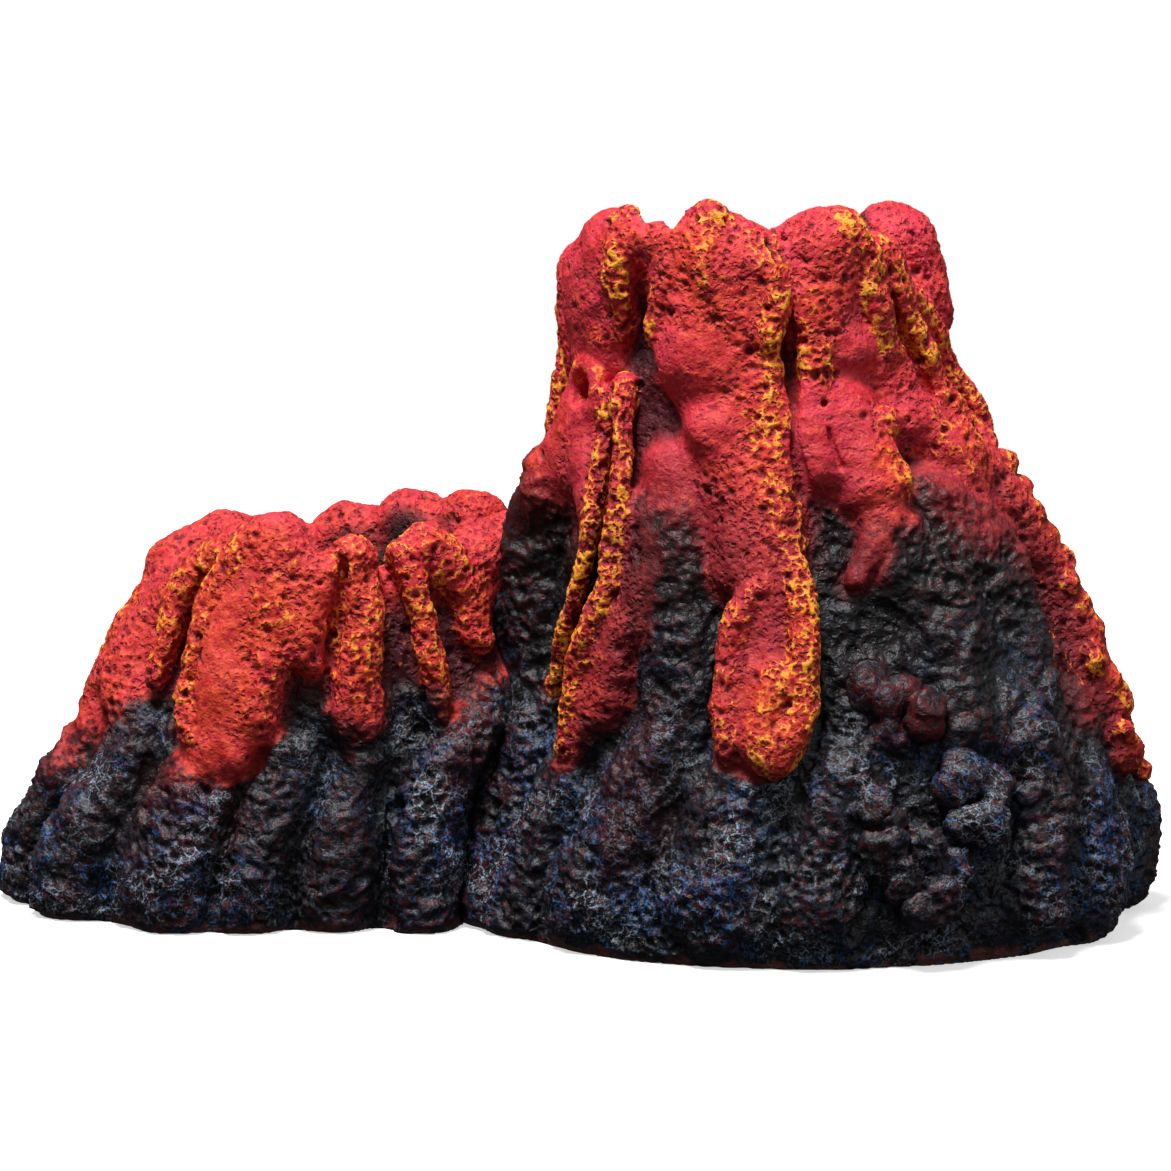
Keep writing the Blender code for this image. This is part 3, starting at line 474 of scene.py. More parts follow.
def sculpt_low_crater():
    """The squat crater on the left."""
    c = Casting(
        "low_crater", height=73.07, right=-2.63, middle_y=12.78,
        stations=(
            (0, -59, 13, 40, 31, 68), (8, -58.5, 13, 40.5, 30.5, 67),
            (22, -56, 13, 37, 29.5, 62), (40, -50.5, 12.5, 33, 27, 50),
            (55, -45.5, 12, 29.5, 25, 36), (66, -42.5, 12, 27, 23.5, 30),
            (80, -41.5, 12, 26, 22, 27)),
        lip=((-180, 61), (-140, 62), (-100, 62), (-70, 63), (-45, 66), (-22, 67), (0, 63),
             (10, 64), (22, 65), (45, 66), (70, 64), (100, 64), (125, 65), (150, 65), (168, 61),
             (180, 61)),
        edge=((-180, 38), (-90, 33), (-75, 31), (-58, 34), (-40, 44), (-30, 34), (-14, 34),
              (-4, 46), (4, 48), (12, 38), (22, 46), (32, 42), (42, 48), (70, 48), (100, 44),
              (180, 38)),
        wall=4.4, mouth=6.5, warm=1.0)
    c.lava((-44, 67, 4.6, 5), (-56, 61, 5.4, 4.4), (-68, 54, 6, 4.8), (-68, 46, 6.2, 5.4),
           (-62, 40, 5.4, 5.2), (-54, 33, 4, 4.4), fade=6)
    c.lava((-88, 57, 5, 3.6), (-84, 47, 6, 4.4), (-80, 36, 5, 4.6), crest=0.25)
    c.ridge((-46, 66, 2.4, 6), (-54, 58, 2.2, 6), (-50, 50, 2, 5.6), (-46, 43, 1.8, 4.8),
            crest=0.6)
    c.flow((-24, 68, 6, 6), (-29, 62, 6.4, 6.4), (-27, 55, 6.8, 6.6), (-24, 46, 7.4, 6.8),
           (-20, 37, 7.2, 6.8), (-18, 32, 5.6, 6.4), porous=0.3, smooth=0.55, spread=3.0)
    c.flow((-19, 44, 5, 6.8), (-13, 38, 4.6, 6.2), (-10, 32, 3.6, 5.6), porous=0.3, smooth=0.5,
           spread=3.0)
    c.flow((-30, 69, 2.6, 6.4), (-38, 61, 2.2, 6.8), (-37, 54, 2, 6.6), (-33, 44, 1.9, 6.8),
           (-26, 35, 1.9, 7), crest=0.6, porous=1.0, soft=1.5)
    c.flow((-19, 67, 4.6, 6), (-15, 57, 4.8, 6.4), (-11, 47, 4.4, 6.2), (-9, 39, 3.6, 5.6),
           crest=0.35, porous=0.9)
    c.lava((-4, 64, 3.2, 5), (-3, 60, 3, 5.4), (-1, 54, 2.8, 5.4), (1, 49, 2.2, 4.6))
    c.flow((6, 66, 4.2, 4.8), (10, 60, 4.2, 5.4), (13, 53, 4.2, 5.6), (13, 45, 4.4, 5.6),
           (13, 38, 4.6, 5), crest=0.5, porous=0.9, soft=3.0, spread=3.5, fade=9)
    c.ridge((22, 66, 2.8, 4.8), (26, 61, 2.2, 5.4), (29, 54, 2, 5.4), (30, 46, 2.2, 5.2),
            (30, 39, 2.2, 4), crest=0.7, soft=3.0, fade=6)
    c.flow((33, 68, 4, 4.4), (41, 64, 3.6, 4.6), (47, 59, 3.2, 4.6), (46, 52, 2.6, 4), crest=0.5,
           porous=1.0, soft=3.4)
    c.lava((56, 66, 4.6, 4.6), (66, 58, 4.2, 4.8), (74, 50, 3.6, 4.2))
    back = np.random.default_rng(3)
    for azimuth, top in ((95, 67), (124, 69), (150, 68), (178, 63), (-152, 63), (-126, 63),
                         (-104, 62)):
        for k in range(4):
            side, up, size = back.uniform(-1, 1, 3)
            c.lava((azimuth + 9 * side, top - 1 + 2 * up, 4.2 + 0.8 * size, 4.6))
        c.lava((azimuth, top - 4, 5, 4.8), (azimuth + 3, top - 14, 5, 5),
               (azimuth, top - 28, 4.5, 5))
        c.ridge((azimuth + 10, top - 6, 2.2, 5.4), (azimuth + 12, top - 18, 1.9, 5.2))
    c.rock((-20, 27, 7, 4.4), (-20, 17, 10, 6.6), (-21, 5, 10, 6.4))
    c.rock((-44, 32, 5, 3.2), (-50, 18, 8, 4.8), (-56, 4, 8, 5.2))
    c.rock((-76, 30, 6, 3), (-82, 14, 8, 4.6), (-86, 4, 8, 5))
    c.rock((3, 30, 5, 3.2), (1, 16, 7, 5), (0, 4, 8, 5.2))
    c.rock((15, 30, 4, 3.4), (14, 16, 5.4, 5), (13, 4, 6, 5.2))
    for azimuth in (62, 120, 150, -174, -144, -112):
        c.rock((azimuth - 2, 33, 4, 2.6), (azimuth + 2, 20, 5.2, 4.6), (azimuth + 3, 4, 6, 5.2))
    c.rock((48, 41, 4, 3.2), (39, 34, 5, 5.2), (31, 28, 5.6, 6.4), (28, 20, 6.4, 7),
           (27, 10, 7, 7.2), (27, 0, 7, 7))
    c.cut((-2, 46, 1.6, 2.6), (2, 38, 2, 2.2))
    c.cut((3, 66, 1.3, 3.2), (5, 58, 1.5, 2.8), (7, 48, 1.6, 2.8))
    c.cut((18, 66, 1.4, 2.6), (20, 56, 1.8, 2), (21, 44, 2, 2.2))
    c.cut((36, 60, 1.6, 2.6), (38, 50, 1.8, 2.2), (37, 42, 1.8, 2.4))
    c.cut((-46, 62, 1, 4), (-44, 54, 1.6, 3.4), (-41, 44, 1.9, 3), (-36, 34, 2, 3.2))
    c.cut((-31, 45, 1.2, 6.4), soft=0.6)
    c.cut((-30, 34, 1.6, 2.4), (-36, 24, 2, 2.8), (-38, 14, 2.2, 3.4), (-38, 3, 2.4, 3.8), soft=2.5)
    c.cut((-58, 36, 1.4, 2), (-66, 22, 1.8, 2.6), (-70, 4, 2.2, 3.2), soft=2.5)
    c.cut((-4, 32, 1.4, 2.2), (-7, 20, 1.8, 2.8), (-8, 3, 2.2, 3.6), soft=2.0)
    c.cut((9, 32, 1.4, 2.2), (8, 18, 1.6, 2.6), (7, 3, 2, 3.2), soft=2.5)
    c.cut((21, 34, 1.6, 2.4), (21, 18, 2, 2.6), (20, 3, 2.4, 3), soft=2.5)
    return c


# ---- meshing

def tunnels(points):
    """Distance to the arches through the castings: for the inlet, and between the cones."""
    low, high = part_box("inlet_body")
    half = (high[0] - low[0]) / 2 / MM + 2.1
    inlet = arch(points[:, 0] - (low[0] + high[0]) / 2 / MM, points[:, 2], half, high[2] / MM + 2.2)
    inlet = np.maximum(inlet, low[1] / MM + 4 - points[:, 1])
    ends = []
    for node in ("low_air_stone", "main_air_stone"):
        low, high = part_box(node)
        ends.append(np.array([low[0] + high[0], low[1] + high[1]]) / 2 / MM)
    run = ends[1] - ends[0]
    run = run / np.sqrt(run @ run)
    flat = points[:, :2] - ends[0]
    passage = arch(flat @ np.array([-run[1], run[0]]), points[:, 2], 9.0, 17.5)
    passage = np.maximum(passage, np.abs(flat @ run - 27) - 22)
    return np.minimum(inlet, passage)


def arch(across, up, half, height):
    """Distance to an arch section of a half width and a height."""
    over = np.maximum(up - (height - half), 0)
    return np.sqrt(across ** 2 + over ** 2) - half


def surface(casting, points, neighbour=None):
    """Signed distance to a finished casting, in the frame's millimetres."""
    value = casting.distance((points - casting.shift) / casting.unit) * casting.unit
    value = carve(value, tunnels(points), 1.0)
    if neighbour:
        close = np.flatnonzero(value < 3)
        beside = neighbour.distance((points[close] - neighbour.shift) / neighbour.unit)
        beside = beside * neighbour.unit
        value[close] = np.maximum(value[close], SEAM - beside)
    return np.maximum(value, -points[:, 2])


def coarse_mesh(casting, neighbour):
    """Quads on the casting's surface, in the frame's millimetres."""
    low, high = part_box(casting.node)
    low = np.array(low) / MM - 7
    high = np.array(high) / MM + 7
    low[2] = -2.5 * COARSE
    counts = np.ceil((high - low) / COARSE).astype(int)
    axes = [low[k] + COARSE * np.arange(counts[k]) for k in range(3)]
    points = np.stack(np.meshgrid(*axes, indexing="ij"), -1).reshape(-1, 3).astype(np.float32)
    value = surface(casting, points, neighbour)
    grid = openvdb.FloatGrid()
    grid.background = FAR
    grid.copyFromArray(np.clip(value, -FAR, FAR).reshape(counts))
    corners, quads = grid.convertToQuads(0.0)[:2]
    return corners.astype(np.float32) * COARSE + low.astype(np.float32), quads.astype(np.int64)


def split_quads(points, quads, fine):
    """Each quad with a fine corner becomes four; its neighbours take on the new edge points."""
    sides = np.stack([quads, np.roll(quads, -1, 1)], -1)
    keys = np.sort(sides.reshape(-1, 2), 1)
    keys, index = np.unique(keys[:, 0] * len(points) + keys[:, 1], return_inverse=True)
    index = index.reshape(-1, 4)
    chosen = fine[quads].any(1)
    split = np.zeros(len(keys), bool)
    split[index[chosen].ravel()] = True
    middle_of = np.full(len(keys), -1)
    middle_of[split] = len(points) + np.arange(split.sum())
    middles = points[np.stack([keys // len(points), keys % len(points)], 1)[split]].mean(1)
    centre_of = len(points) + len(middles) + np.arange(chosen.sum())
    centres = points[quads[chosen]].mean(1)
    edge = middle_of[index[chosen]]
    corner = quads[chosen]
    small = np.concatenate([np.stack([corner[:, k], edge[:, k], centre_of, edge[:, k - 1]], 1)
                            for k in range(4)])
    touched = ~chosen & split[index].any(1)
    plain = quads[~chosen & ~touched]
    odd = []
    for quad, edges in zip(quads[touched], index[touched]):
        loop = []
        for corner_number, edge_number in zip(quad, edges):
            loop.append(int(corner_number))
            if middle_of[edge_number] >= 0:
                loop.append(int(middle_of[edge_number]))
        odd.append(loop)
    return np.concatenate([points, middles, centres]), np.concatenate([small, plain]), odd


def make_mesh(name, points, quads, odd):
    """A smooth-shaded mesh of quads and of odd faces with more corners."""
    mesh = bpy.data.meshes.new(name)
    sizes = [4] * len(quads) + [len(loop) for loop in odd]
    corners = np.concatenate([quads.ravel()] + [np.array(loop) for loop in odd]).astype(np.int32)
    mesh.vertices.add(len(points))
    mesh.vertices.foreach_set("co", (points * MM).astype(np.float32).ravel())
    mesh.loops.add(len(corners))
    mesh.loops.foreach_set("vertex_index", corners)
    mesh.polygons.add(len(sizes))
    starts = np.concatenate([[0], np.cumsum(sizes)[:-1]]).astype(np.int32)
    mesh.polygons.foreach_set("loop_start", starts)
    mesh.update(calc_edges=True)
    mesh.validate()
    mesh.shade_smooth()
    return mesh


def normals_of(mesh):
    """The vertices' normals, one row each."""
    normals = np.empty(len(mesh.vertices) * 3, np.float32)
    mesh.vertices.foreach_get("normal", normals)
    return normals.reshape(-1, 3)


# ---- relief and paint

def paint_masks(casting, bent, azimuth):
    """Red paint, lava (not rock), yellow crest, porous and smooth shares at points of the surface."""
    wide = noise(bent, 9, 31)
    blur = 4.5 * wide + 2.5 * noise(bent, 3.5, 32)
    edge = np.interp(azimuth, casting.edge[:, 0], casting.edge[:, 1])
    red = ramp(bent[:, 2] + blur, edge - 12, edge + 7)
    lava = ramp(bent[:, 2] + blur, edge - 4, edge + 4)
    crest = np.zeros(len(bent), np.float32)
    porous = np.clip(0.62 + 0.35 * wide, 0, 1)
    smooth = np.zeros(len(bent), np.float32)
    for shape in casting.flows:
        here = within(bent, shape, 2.5 + shape["spread"])
        away = chain(bent[here], shape["line"], shape["radius"])
        near = 1 - ramp(away, 0.3, 2.8)
        share = shape["red"]
        if shape["fade"]:
            low = shape["line"][:, 2].min()
            share = share * ramp(bent[here, 2] + blur[here], low - 2, low + shape["fade"])
        away = away + 0.12 * blur[here]
        red[here] = np.maximum(red[here], share * (1 - ramp(away, 0.3, shape["spread"])))
        lava[here] = np.maximum(lava[here], np.minimum(1.5 * share, 1) * (1 - ramp(away, 0.8, 2.6)))
        crest[here] = np.maximum(crest[here], shape["crest"] * (1 - ramp(away, -0.3, 1.6)))
        porous[here] += (shape["porous"] - porous[here]) * near
        smooth[here] += (shape["smooth"] - smooth[here]) * near
    return red, lava, crest, porous, smooth


def relief_of(bent, lava, porous, smooth):
    """How far the fine surface stands out of the sculpt, its relief for paint, and its pits."""
    swirl = np.stack([noise(bent, 2.2, seed) for seed in (46, 47, 48)], 1)
    patchy = np.clip(porous + 0.35 * noise(bent, 4.5, 45), 0, 1) * (1 - 0.8 * smooth)
    small, gap, tag = cells(bent + np.float32(0.35) * swirl, 1.5, 51)
    pit = (0.35 + 0.65 * tag) * (1 - ramp(small, 0.14, 0.52))
    wall = 1 - ramp(gap, 0.02, 0.24)
    big, _, big_tag = cells(bent + np.float32(0.6) * swirl, 2.7, 55)
    hole = (big_tag > 1 - 0.6 * patchy) * (1 - ramp(big, 0.10, 0.42))
    lumps = fractal(bent, 6, 2, 41)
    rasp = crags(bent, 2.4, 3, 61)
    streaks = crags(bent * np.float32([1, 1, 0.25]), 3.2, 2, 65)
    knots = crags(bent, 5.5, 3, 91)
    foam = 0.5 * lumps + 0.45 * knots + patchy * (0.16 * wall - 0.55 * pit) - 0.8 * hole + 0.18 * rasp
    flesh = 0.4 * lumps + 0.42 * knots + 0.18 * streaks + 0.14 * rasp - 0.3 * hole
    melted = foam + (flesh - foam) * smooth
    crag = 1.0 * crags(bent * np.float32([1, 1, 0.45]), 7.0, 3, 71) + 1.0 * crags(bent, 4.4, 4, 75)
    first, edge_gap, number = cells(bent + np.float32(0.7) * swirl, 2.3, 81)
    pitted = ramp(noise(bent, 12, 83) + 0.5 * ramp(bent[:, 2], 34, 10), 0.0, 0.45)
    dimple = pitted * (0.3 + 0.7 * number) * (1 - ramp(first, 0.12, 0.52))
    crumbs = 0.30 * crags(bent, 1.5, 2, 85)
    rim = 0.25 * pitted * (1 - ramp(edge_gap, 0.02, 0.25))
    broken = 0.7 * lumps + crag + crumbs - 0.95 * dimple + rim
    move = broken + (melted - broken) * lava
    fine = broken - 0.7 * lumps
    fine += (melted - 0.5 * lumps - 0.3 * knots - fine) * lava
    pores = lava * np.clip(patchy * pit + hole, 0, 1) + (1 - lava) * dimple
    return move, fine, pores


def add_attribute(mesh, name, values):
    """One number for each vertex, for the paint to read."""
    layer = mesh.attributes.new(name, "FLOAT", "POINT")
    layer.data.foreach_set("value", values.astype(np.float32))


def build(casting, neighbour=None):
    """The casting's painted and pitted mesh."""
    points, quads = coarse_mesh(casting, neighbour)
    design = (points - casting.shift) / casting.unit
    outer = (casting.cavity(design) > 1.6) & (points[:, 2] > 0.5)
    points, quads, odd = split_quads(points, quads, outer)
    mesh = make_mesh(casting.node + "_sculpt", points, quads, odd)
    normals = normals_of(mesh)
    value = surface(casting, points, neighbour)
    ahead = surface(casting, points + PROBE * normals, neighbour)
    slope = np.maximum((ahead - value) / PROBE, 0.35)
    points = points - np.clip(value / slope, -0.5, 0.5)[:, None] * normals
    design = (points - casting.shift) / casting.unit
    bent = casting.bend(design)
    azimuth = casting.azimuths(bent)
    proud = casting.cone(bent)
    inside = ramp(casting.cavity(design), 3.0, 0.8)
    red, lava, crest, porous, smooth = paint_masks(casting, bent, azimuth)
    move, fine, pores = relief_of(bent, lava, porous, smooth)
    # groove: low-lying surface between the flows below the lip, darkened in the paint partly as
    # airbrushed dark paint, partly as painted shade
    groove = ramp(proud, 1.8, -0.2) * ramp(casting.lip_height(azimuth) - bent[:, 2], 3, 10)
    keep = ramp(points[:, 2], 0.3, 2.0) * (0.35 + 0.65 * (1 - inside))
    if neighbour:
        beside = neighbour.distance((points - neighbour.shift) / neighbour.unit)
        keep = keep * ramp(beside, 0.8, 2.5)
    points = points + (keep * move)[:, None] * normals
    mesh.vertices.foreach_set("co", (points * MM).astype(np.float32).ravel())
    mesh.update()
    paint = dict(red=red, lava=lava, crest=crest, relief=fine, pores=pores, proud=proud,
                 groove=groove, porous=porous, smooth=smooth, inside=inside, height=design[:, 2],
                 warm=np.full(len(points), casting.warm))
    for name, values in paint.items():
        add_attribute(mesh, name, values)
    return mesh


# ---- materials

def srgb(red, green, blue):
    """A colour given as 0 to 255 screen values, made linear."""
    return tuple(((v / 255 + 0.055) / 1.055) ** 2.4 if v > 10 else v / 255 / 12.92
                 for v in (red, green, blue)) + (1.0,)


class Nodes:
    """Builds a material's node tree: each call adds a node and returns its output."""

    def __init__(self, name, roughness=0.6):
        self.material = bpy.data.materials.new(name)
        self.material.use_nodes = True
        self.tree = self.material.node_tree
        self.shader = self.tree.nodes["Principled BSDF"]
        self.shader.inputs["Roughness"].default_value = roughness
        self.place = self.tree.nodes.new("ShaderNodeTexCoord").outputs["Object"]

    def put(self, socket, value):
        """Links an output to a socket, or sets the socket's value."""
        if isinstance(value, bpy.types.NodeSocket):
            self.tree.links.new(value, socket)
        else:
            socket.default_value = value

    def attribute(self, name):
        node = self.tree.nodes.new("ShaderNodeAttribute")
        node.attribute_name = name
        return node.outputs["Fac"]

    def math(self, operation, a, b=0.0, clamp=False):
        node = self.tree.nodes.new("ShaderNodeMath")
        node.operation = operation
        node.use_clamp = clamp
        self.put(node.inputs[0], a)
        self.put(node.inputs[1], b)
        return node.outputs[0]

    def times(self, a, b):
        return self.math("MULTIPLY", a, b)

    def plus(self, a, b, clamp=False):
        return self.math("ADD", a, b, clamp)

    def minus(self, a, b, clamp=False):
        return self.math("SUBTRACT", a, b, clamp)

    def range(self, value, start, end, low=0.0, high=1.0):
        node = self.tree.nodes.new("ShaderNodeMapRange")
        node.interpolation_type = "SMOOTHSTEP"
        for number, given in enumerate((value, start, end, low, high)):
            self.put(node.inputs[number], given)
        return node.outputs[0]

    def mix(self, share, a, b):
        node = self.tree.nodes.new("ShaderNodeMix")
        node.data_type = "RGBA"
        self.put(node.inputs["Factor"], share)
        self.put(node.inputs["A"], a)
        self.put(node.inputs["B"], b)
        return node.outputs["Result"]

    def noise(self, size, detail=4.0, stretch=None):
        node = self.tree.nodes.new("ShaderNodeTexNoise")
        self.put(node.inputs["Vector"], self.stretched(stretch))
        node.inputs["Scale"].default_value = 1 / (size * MM)
        node.inputs["Detail"].default_value = detail
        return node.outputs["Fac"]

    def cells(self, size, swirl):
        """Distances to the centre and to the wall of cells that are pushed about by a noise."""
        push = self.tree.nodes.new("ShaderNodeTexNoise")
        self.put(push.inputs["Vector"], self.place)
        push.inputs["Scale"].default_value = 0.6 / (size * MM)
        scaled = self.tree.nodes.new("ShaderNodeVectorMath")
        scaled.operation = "MULTIPLY_ADD"
        self.put(scaled.inputs[0], push.outputs["Color"])
        scaled.inputs[1].default_value = (2 * swirl * size * MM,) * 3
        self.put(scaled.inputs[2], self.place)
        found = []
        for feature in ("F1", "DISTANCE_TO_EDGE"):
            node = self.tree.nodes.new("ShaderNodeTexVoronoi")
            node.feature = feature
            self.put(node.inputs["Vector"], scaled.outputs[0])
            node.inputs["Scale"].default_value = 1 / (size * MM)
            found.append(node.outputs["Distance"])
        return found

    def stretched(self, stretch):
        if stretch is None:
            return self.place
        node = self.tree.nodes.new("ShaderNodeMapping")
        self.put(node.inputs["Vector"], self.place)
        node.inputs["Scale"].default_value = stretch
        return node.outputs["Vector"]

    def bump(self, height, depth, strength=1.0, under=None):
        node = self.tree.nodes.new("ShaderNodeBump")
        node.inputs["Distance"].default_value = depth * MM
        node.inputs["Strength"].default_value = strength
        self.put(node.inputs["Height"], height)
        if under is not None:
            self.put(node.inputs["Normal"], under)
        return node.outputs["Normal"]


def painted_resin():
    """Hand-painted resin: lava red with yellow crests, over dry-brushed black rock."""
    m = Nodes("painted_resin", 0.62)
    red, crest, relief, lava_share, pores, proud, smooth, warm, height = [
        m.attribute(name) for name in ("red", "crest", "relief", "lava", "pores", "proud",
                                       "smooth", "warm", "height")]
    blotch = m.noise(14, 3)
    patch = m.noise(5, 4)
    speck = m.noise(1.3, 4)
    grain = m.noise(0.45, 3)
    small, small_wall = m.cells(1.15, 0.9)
    large, large_wall = m.cells(2.1, 0.9)
    pick = m.range(m.noise(3.2, 2), 0.46, 0.58)
    pit = m.times(m.range(large, 0.42, 0.12), pick)
    pit = m.plus(pit, m.times(m.range(small, 0.48, 0.12), 0.8), clamp=True)
    foamy = m.plus(m.attribute("porous"), m.range(patch, 0.3, 0.7, -0.3, 0.3))
    foamy = m.range(foamy, 0.1, 0.8, 0.25, 1.0)
    pit = m.times(pit, foamy)
    net = m.mix(pick, small_wall, large_wall)
    wall = m.range(net, 0.17, 0.03)
    # lava: pink on smooth skin, orange-red where it stands out, with painted shade darkening pits and
    # grooves (the grooves partly airbrushed dark paint too)
    pink = m.mix(m.range(patch, 0.3, 0.7), srgb(202, 26, 50), srgb(230, 58, 84))
    orange = m.mix(m.range(speck, 0.3, 0.7), srgb(206, 34, 30), srgb(236, 82, 42))
    lift = m.plus(m.range(proud, 2.5, 8.0), m.times(warm, 0.45))
    lift = m.minus(lift, m.times(smooth, 0.9), clamp=True)
    lift = m.times(lift, m.range(blotch, 0.3, 0.62, 0.35, 1.0))
    lava = m.mix(lift, pink, orange)
    lava = m.mix(m.times(m.range(patch, 0.5, 0.72), 0.5), lava, srgb(160, 22, 38))
    lava = m.mix(m.times(wall, m.range(speck, 0.35, 0.6, 0.0, 0.4)), lava, srgb(240, 92, 50))
    # painted shade: pits, pores and low relief are darkened to a deep red
    sunk_painted_shade = m.plus(m.range(relief, 0.0, -0.8, 0.0, 0.7), m.times(pores, 0.3))
    sunk_painted_shade = m.plus(sunk_painted_shade, m.times(pit, 0.5), clamp=True)
    lava = m.mix(m.times(sunk_painted_shade, 0.85), lava, srgb(104, 12, 22))
    # grooves darkened: partly airbrushed dark paint, partly painted shade
    lava = m.mix(m.attribute("groove"), lava, srgb(70, 10, 22))
    # painted shade, with some airbrushed dark paint: low-lying lava on the tall cone's middle is
    # darkened to maroon
    low_lying_painted_shade = m.times(m.range(height, 103, 68), m.range(proud, 7.0, 3.5, 0.15, 0.75))
    low_lying_painted_shade = m.times(low_lying_painted_shade, m.range(warm, 0, 1, 1.0, 0.1))
    lava = m.mix(low_lying_painted_shade, lava, srgb(92, 12, 22))
    # yellow dry-brushed on the crests and pore walls
    touch = m.times(crest, m.range(patch, 0.36, 0.6, 0.45, 1.0))
    touch = m.plus(touch, m.times(wall, 0.35))
    touch = m.plus(touch, m.times(warm, 0.04))
    touch = m.plus(touch, m.range(relief, -0.3, 0.5, -0.7, 0.25))
    touch = m.plus(touch, m.range(speck, 0.3, 0.7, -0.35, 0.25))
    touch = m.minus(touch, m.times(pit, 0.7))
    touch = m.minus(touch, m.range(red, 0.95, 0.5, 0.0, 0.6))
    yellow = m.mix(m.range(touch, 0.5, 1.05), srgb(238, 100, 34), srgb(252, 170, 48))
    lava = m.mix(m.range(touch, 0.36, 0.82), lava, yellow)
    # rock: near black, with blue and grey dry-brushed along what stands out
    rock = m.mix(m.range(speck, 0.3, 0.7), srgb(9, 8, 10), srgb(23, 21, 24))
    brush = m.mix(m.range(m.noise(7, 2), 0.42, 0.6), srgb(56, 108, 176), srgb(160, 176, 198))
    crease = m.math("ABSOLUTE", m.minus(m.noise(2.2, 4), 0.5))
    thin = m.math("MAXIMUM", m.range(crease, 0.022, 0.0), m.range(large_wall, 0.09, 0.01))
    thin = m.times(thin, m.range(grain, 0.36, 0.6))
    raised = m.times(thin, m.range(relief, -0.5, 0.6))
    flecks = m.times(m.range(grain, 0.60, 0.70), m.range(relief, 0.3, 1.2, 0.0, 0.7))
    raised = m.math("MAXIMUM", raised, flecks)
    low_down = m.range(height, 66, 20, 0.06, 1.0)
    patchy = m.range(m.noise(15, 3), 0.40, 0.62, 0.15, 1.0)
    rock = m.mix(m.times(m.times(raised, low_down), patchy), rock, brush)
    stain = m.times(m.range(m.noise(16, 3, (1, 1, 0.4)), 0.54, 0.68), 0.6)
    rock = m.mix(stain, rock, srgb(44, 7, 10))
    # painted shade: the rock's hollows are darkened to near black
    rock = m.mix(m.times(m.range(relief, -0.2, -1.2), 0.8), rock, srgb(6, 5, 7))
    # the red fades into the rock through an airbrushed maroon, with painted shade making it darker
    # where the surface lies low
    edge = m.plus(red, m.range(speck, 0.3, 0.7, -0.16, 0.16))
    edge = m.plus(edge, m.range(relief, -0.6, 0.6, -0.16, 0.16))
    edge = m.minus(edge, m.times(pit, 0.12))
    maroon_fade_with_shade = m.mix(m.range(proud, 1.0, 4.5), srgb(36, 8, 12), srgb(84, 12, 18))
    colour = m.mix(m.range(edge, 0.08, 0.5), rock, maroon_fade_with_shade)
    colour = m.mix(m.range(edge, 0.40, 1.0), colour, lava)
    # bare resin shows at the very foot
    bare = m.range(m.plus(height, m.range(patch, 0.3, 0.7, -1.6, 1.6)), 1.6, 0.6)
    bare = m.times(bare, m.range(speck, 0.3, 0.6, 0.2, 0.8))
    colour = m.mix(bare, colour, srgb(116, 66, 60))
    inner = m.mix(m.range(patch, 0.4, 0.6), srgb(24, 12, 14), srgb(58, 18, 20))
    colour = m.mix(m.attribute("inside"), colour, inner)
    m.put(m.shader.inputs["Base Color"], colour)
    rough = m.times(m.range(red, 0.1, 0.7, 0.44, 0.62), m.range(grain, 0.3, 0.7, 0.85, 1.2))
    m.put(m.shader.inputs["Roughness"], rough)
    m.shader.inputs["Specular IOR Level"].default_value = 0.4
    open_cells = m.times(pit, m.range(smooth, 0, 1, 1.0, 0.35))
    open_cells = m.times(open_cells, m.range(lava_share, 0, 1, 0.6, 1.0))
    normal = m.bump(m.minus(1.0, open_cells), 0.45, 0.9)
    m.put(m.shader.inputs["Normal"], m.bump(m.plus(grain, speck), 0.22, 0.9, normal))
    return m.material


def moulded(name, colour, roughness, grain=0.3):
    """Moulded plastic or rubber, faintly mottled, with a fine grain."""
    m = Nodes(name, roughness)
    fine = m.noise(grain, 3)
    paler = tuple(1.5 * v + 0.008 for v in colour[:3]) + (1.0,)
    m.put(m.shader.inputs["Base Color"], m.mix(m.range(m.noise(7, 4), 0.35, 0.65), colour, paler))
    m.put(m.shader.inputs["Roughness"], m.range(fine, 0.3, 0.7, roughness - 0.08, roughness + 0.08))
    m.put(m.shader.inputs["Normal"], m.bump(fine, 0.04, 0.7))
    return m.material


def silicone():
    """Clear, slightly cloudy airline."""
    m = Nodes("silicone_hose", 0.3)
    cloudy = m.range(m.noise(4, 3), 0.35, 0.65)
    m.put(m.shader.inputs["Base Color"], m.mix(cloudy, srgb(196, 208, 208), srgb(222, 230, 228)))
    m.put(m.shader.inputs["Roughness"], m.range(m.noise(0.6, 2), 0.3, 0.7, 0.22, 0.4))
    m.shader.inputs["Transmission Weight"].default_value = 0.45
    m.shader.inputs["IOR"].default_value = 1.41
    return m.material


def sintered_grit():
    """Blue-grey grains with dark seams, for the air stones."""
    m = Nodes("sintered_grit", 0.92)
    grain, seam = m.cells(0.75, 0.5)
    tone = m.mix(m.range(m.noise(0.9, 3), 0.35, 0.65), srgb(96, 116, 140), srgb(150, 166, 184))
    tone = m.mix(m.range(seam, 0.14, 0.02), tone, srgb(34, 42, 54))
    tone = m.mix(m.range(m.noise(5, 2), 0.5, 0.7, 0.0, 0.35), tone, srgb(70, 84, 100))
    m.put(m.shader.inputs["Base Color"], tone)
    m.put(m.shader.inputs["Normal"], m.bump(m.minus(1.0, grain), 0.35, 1.0))
    return m.material


# ---- scene

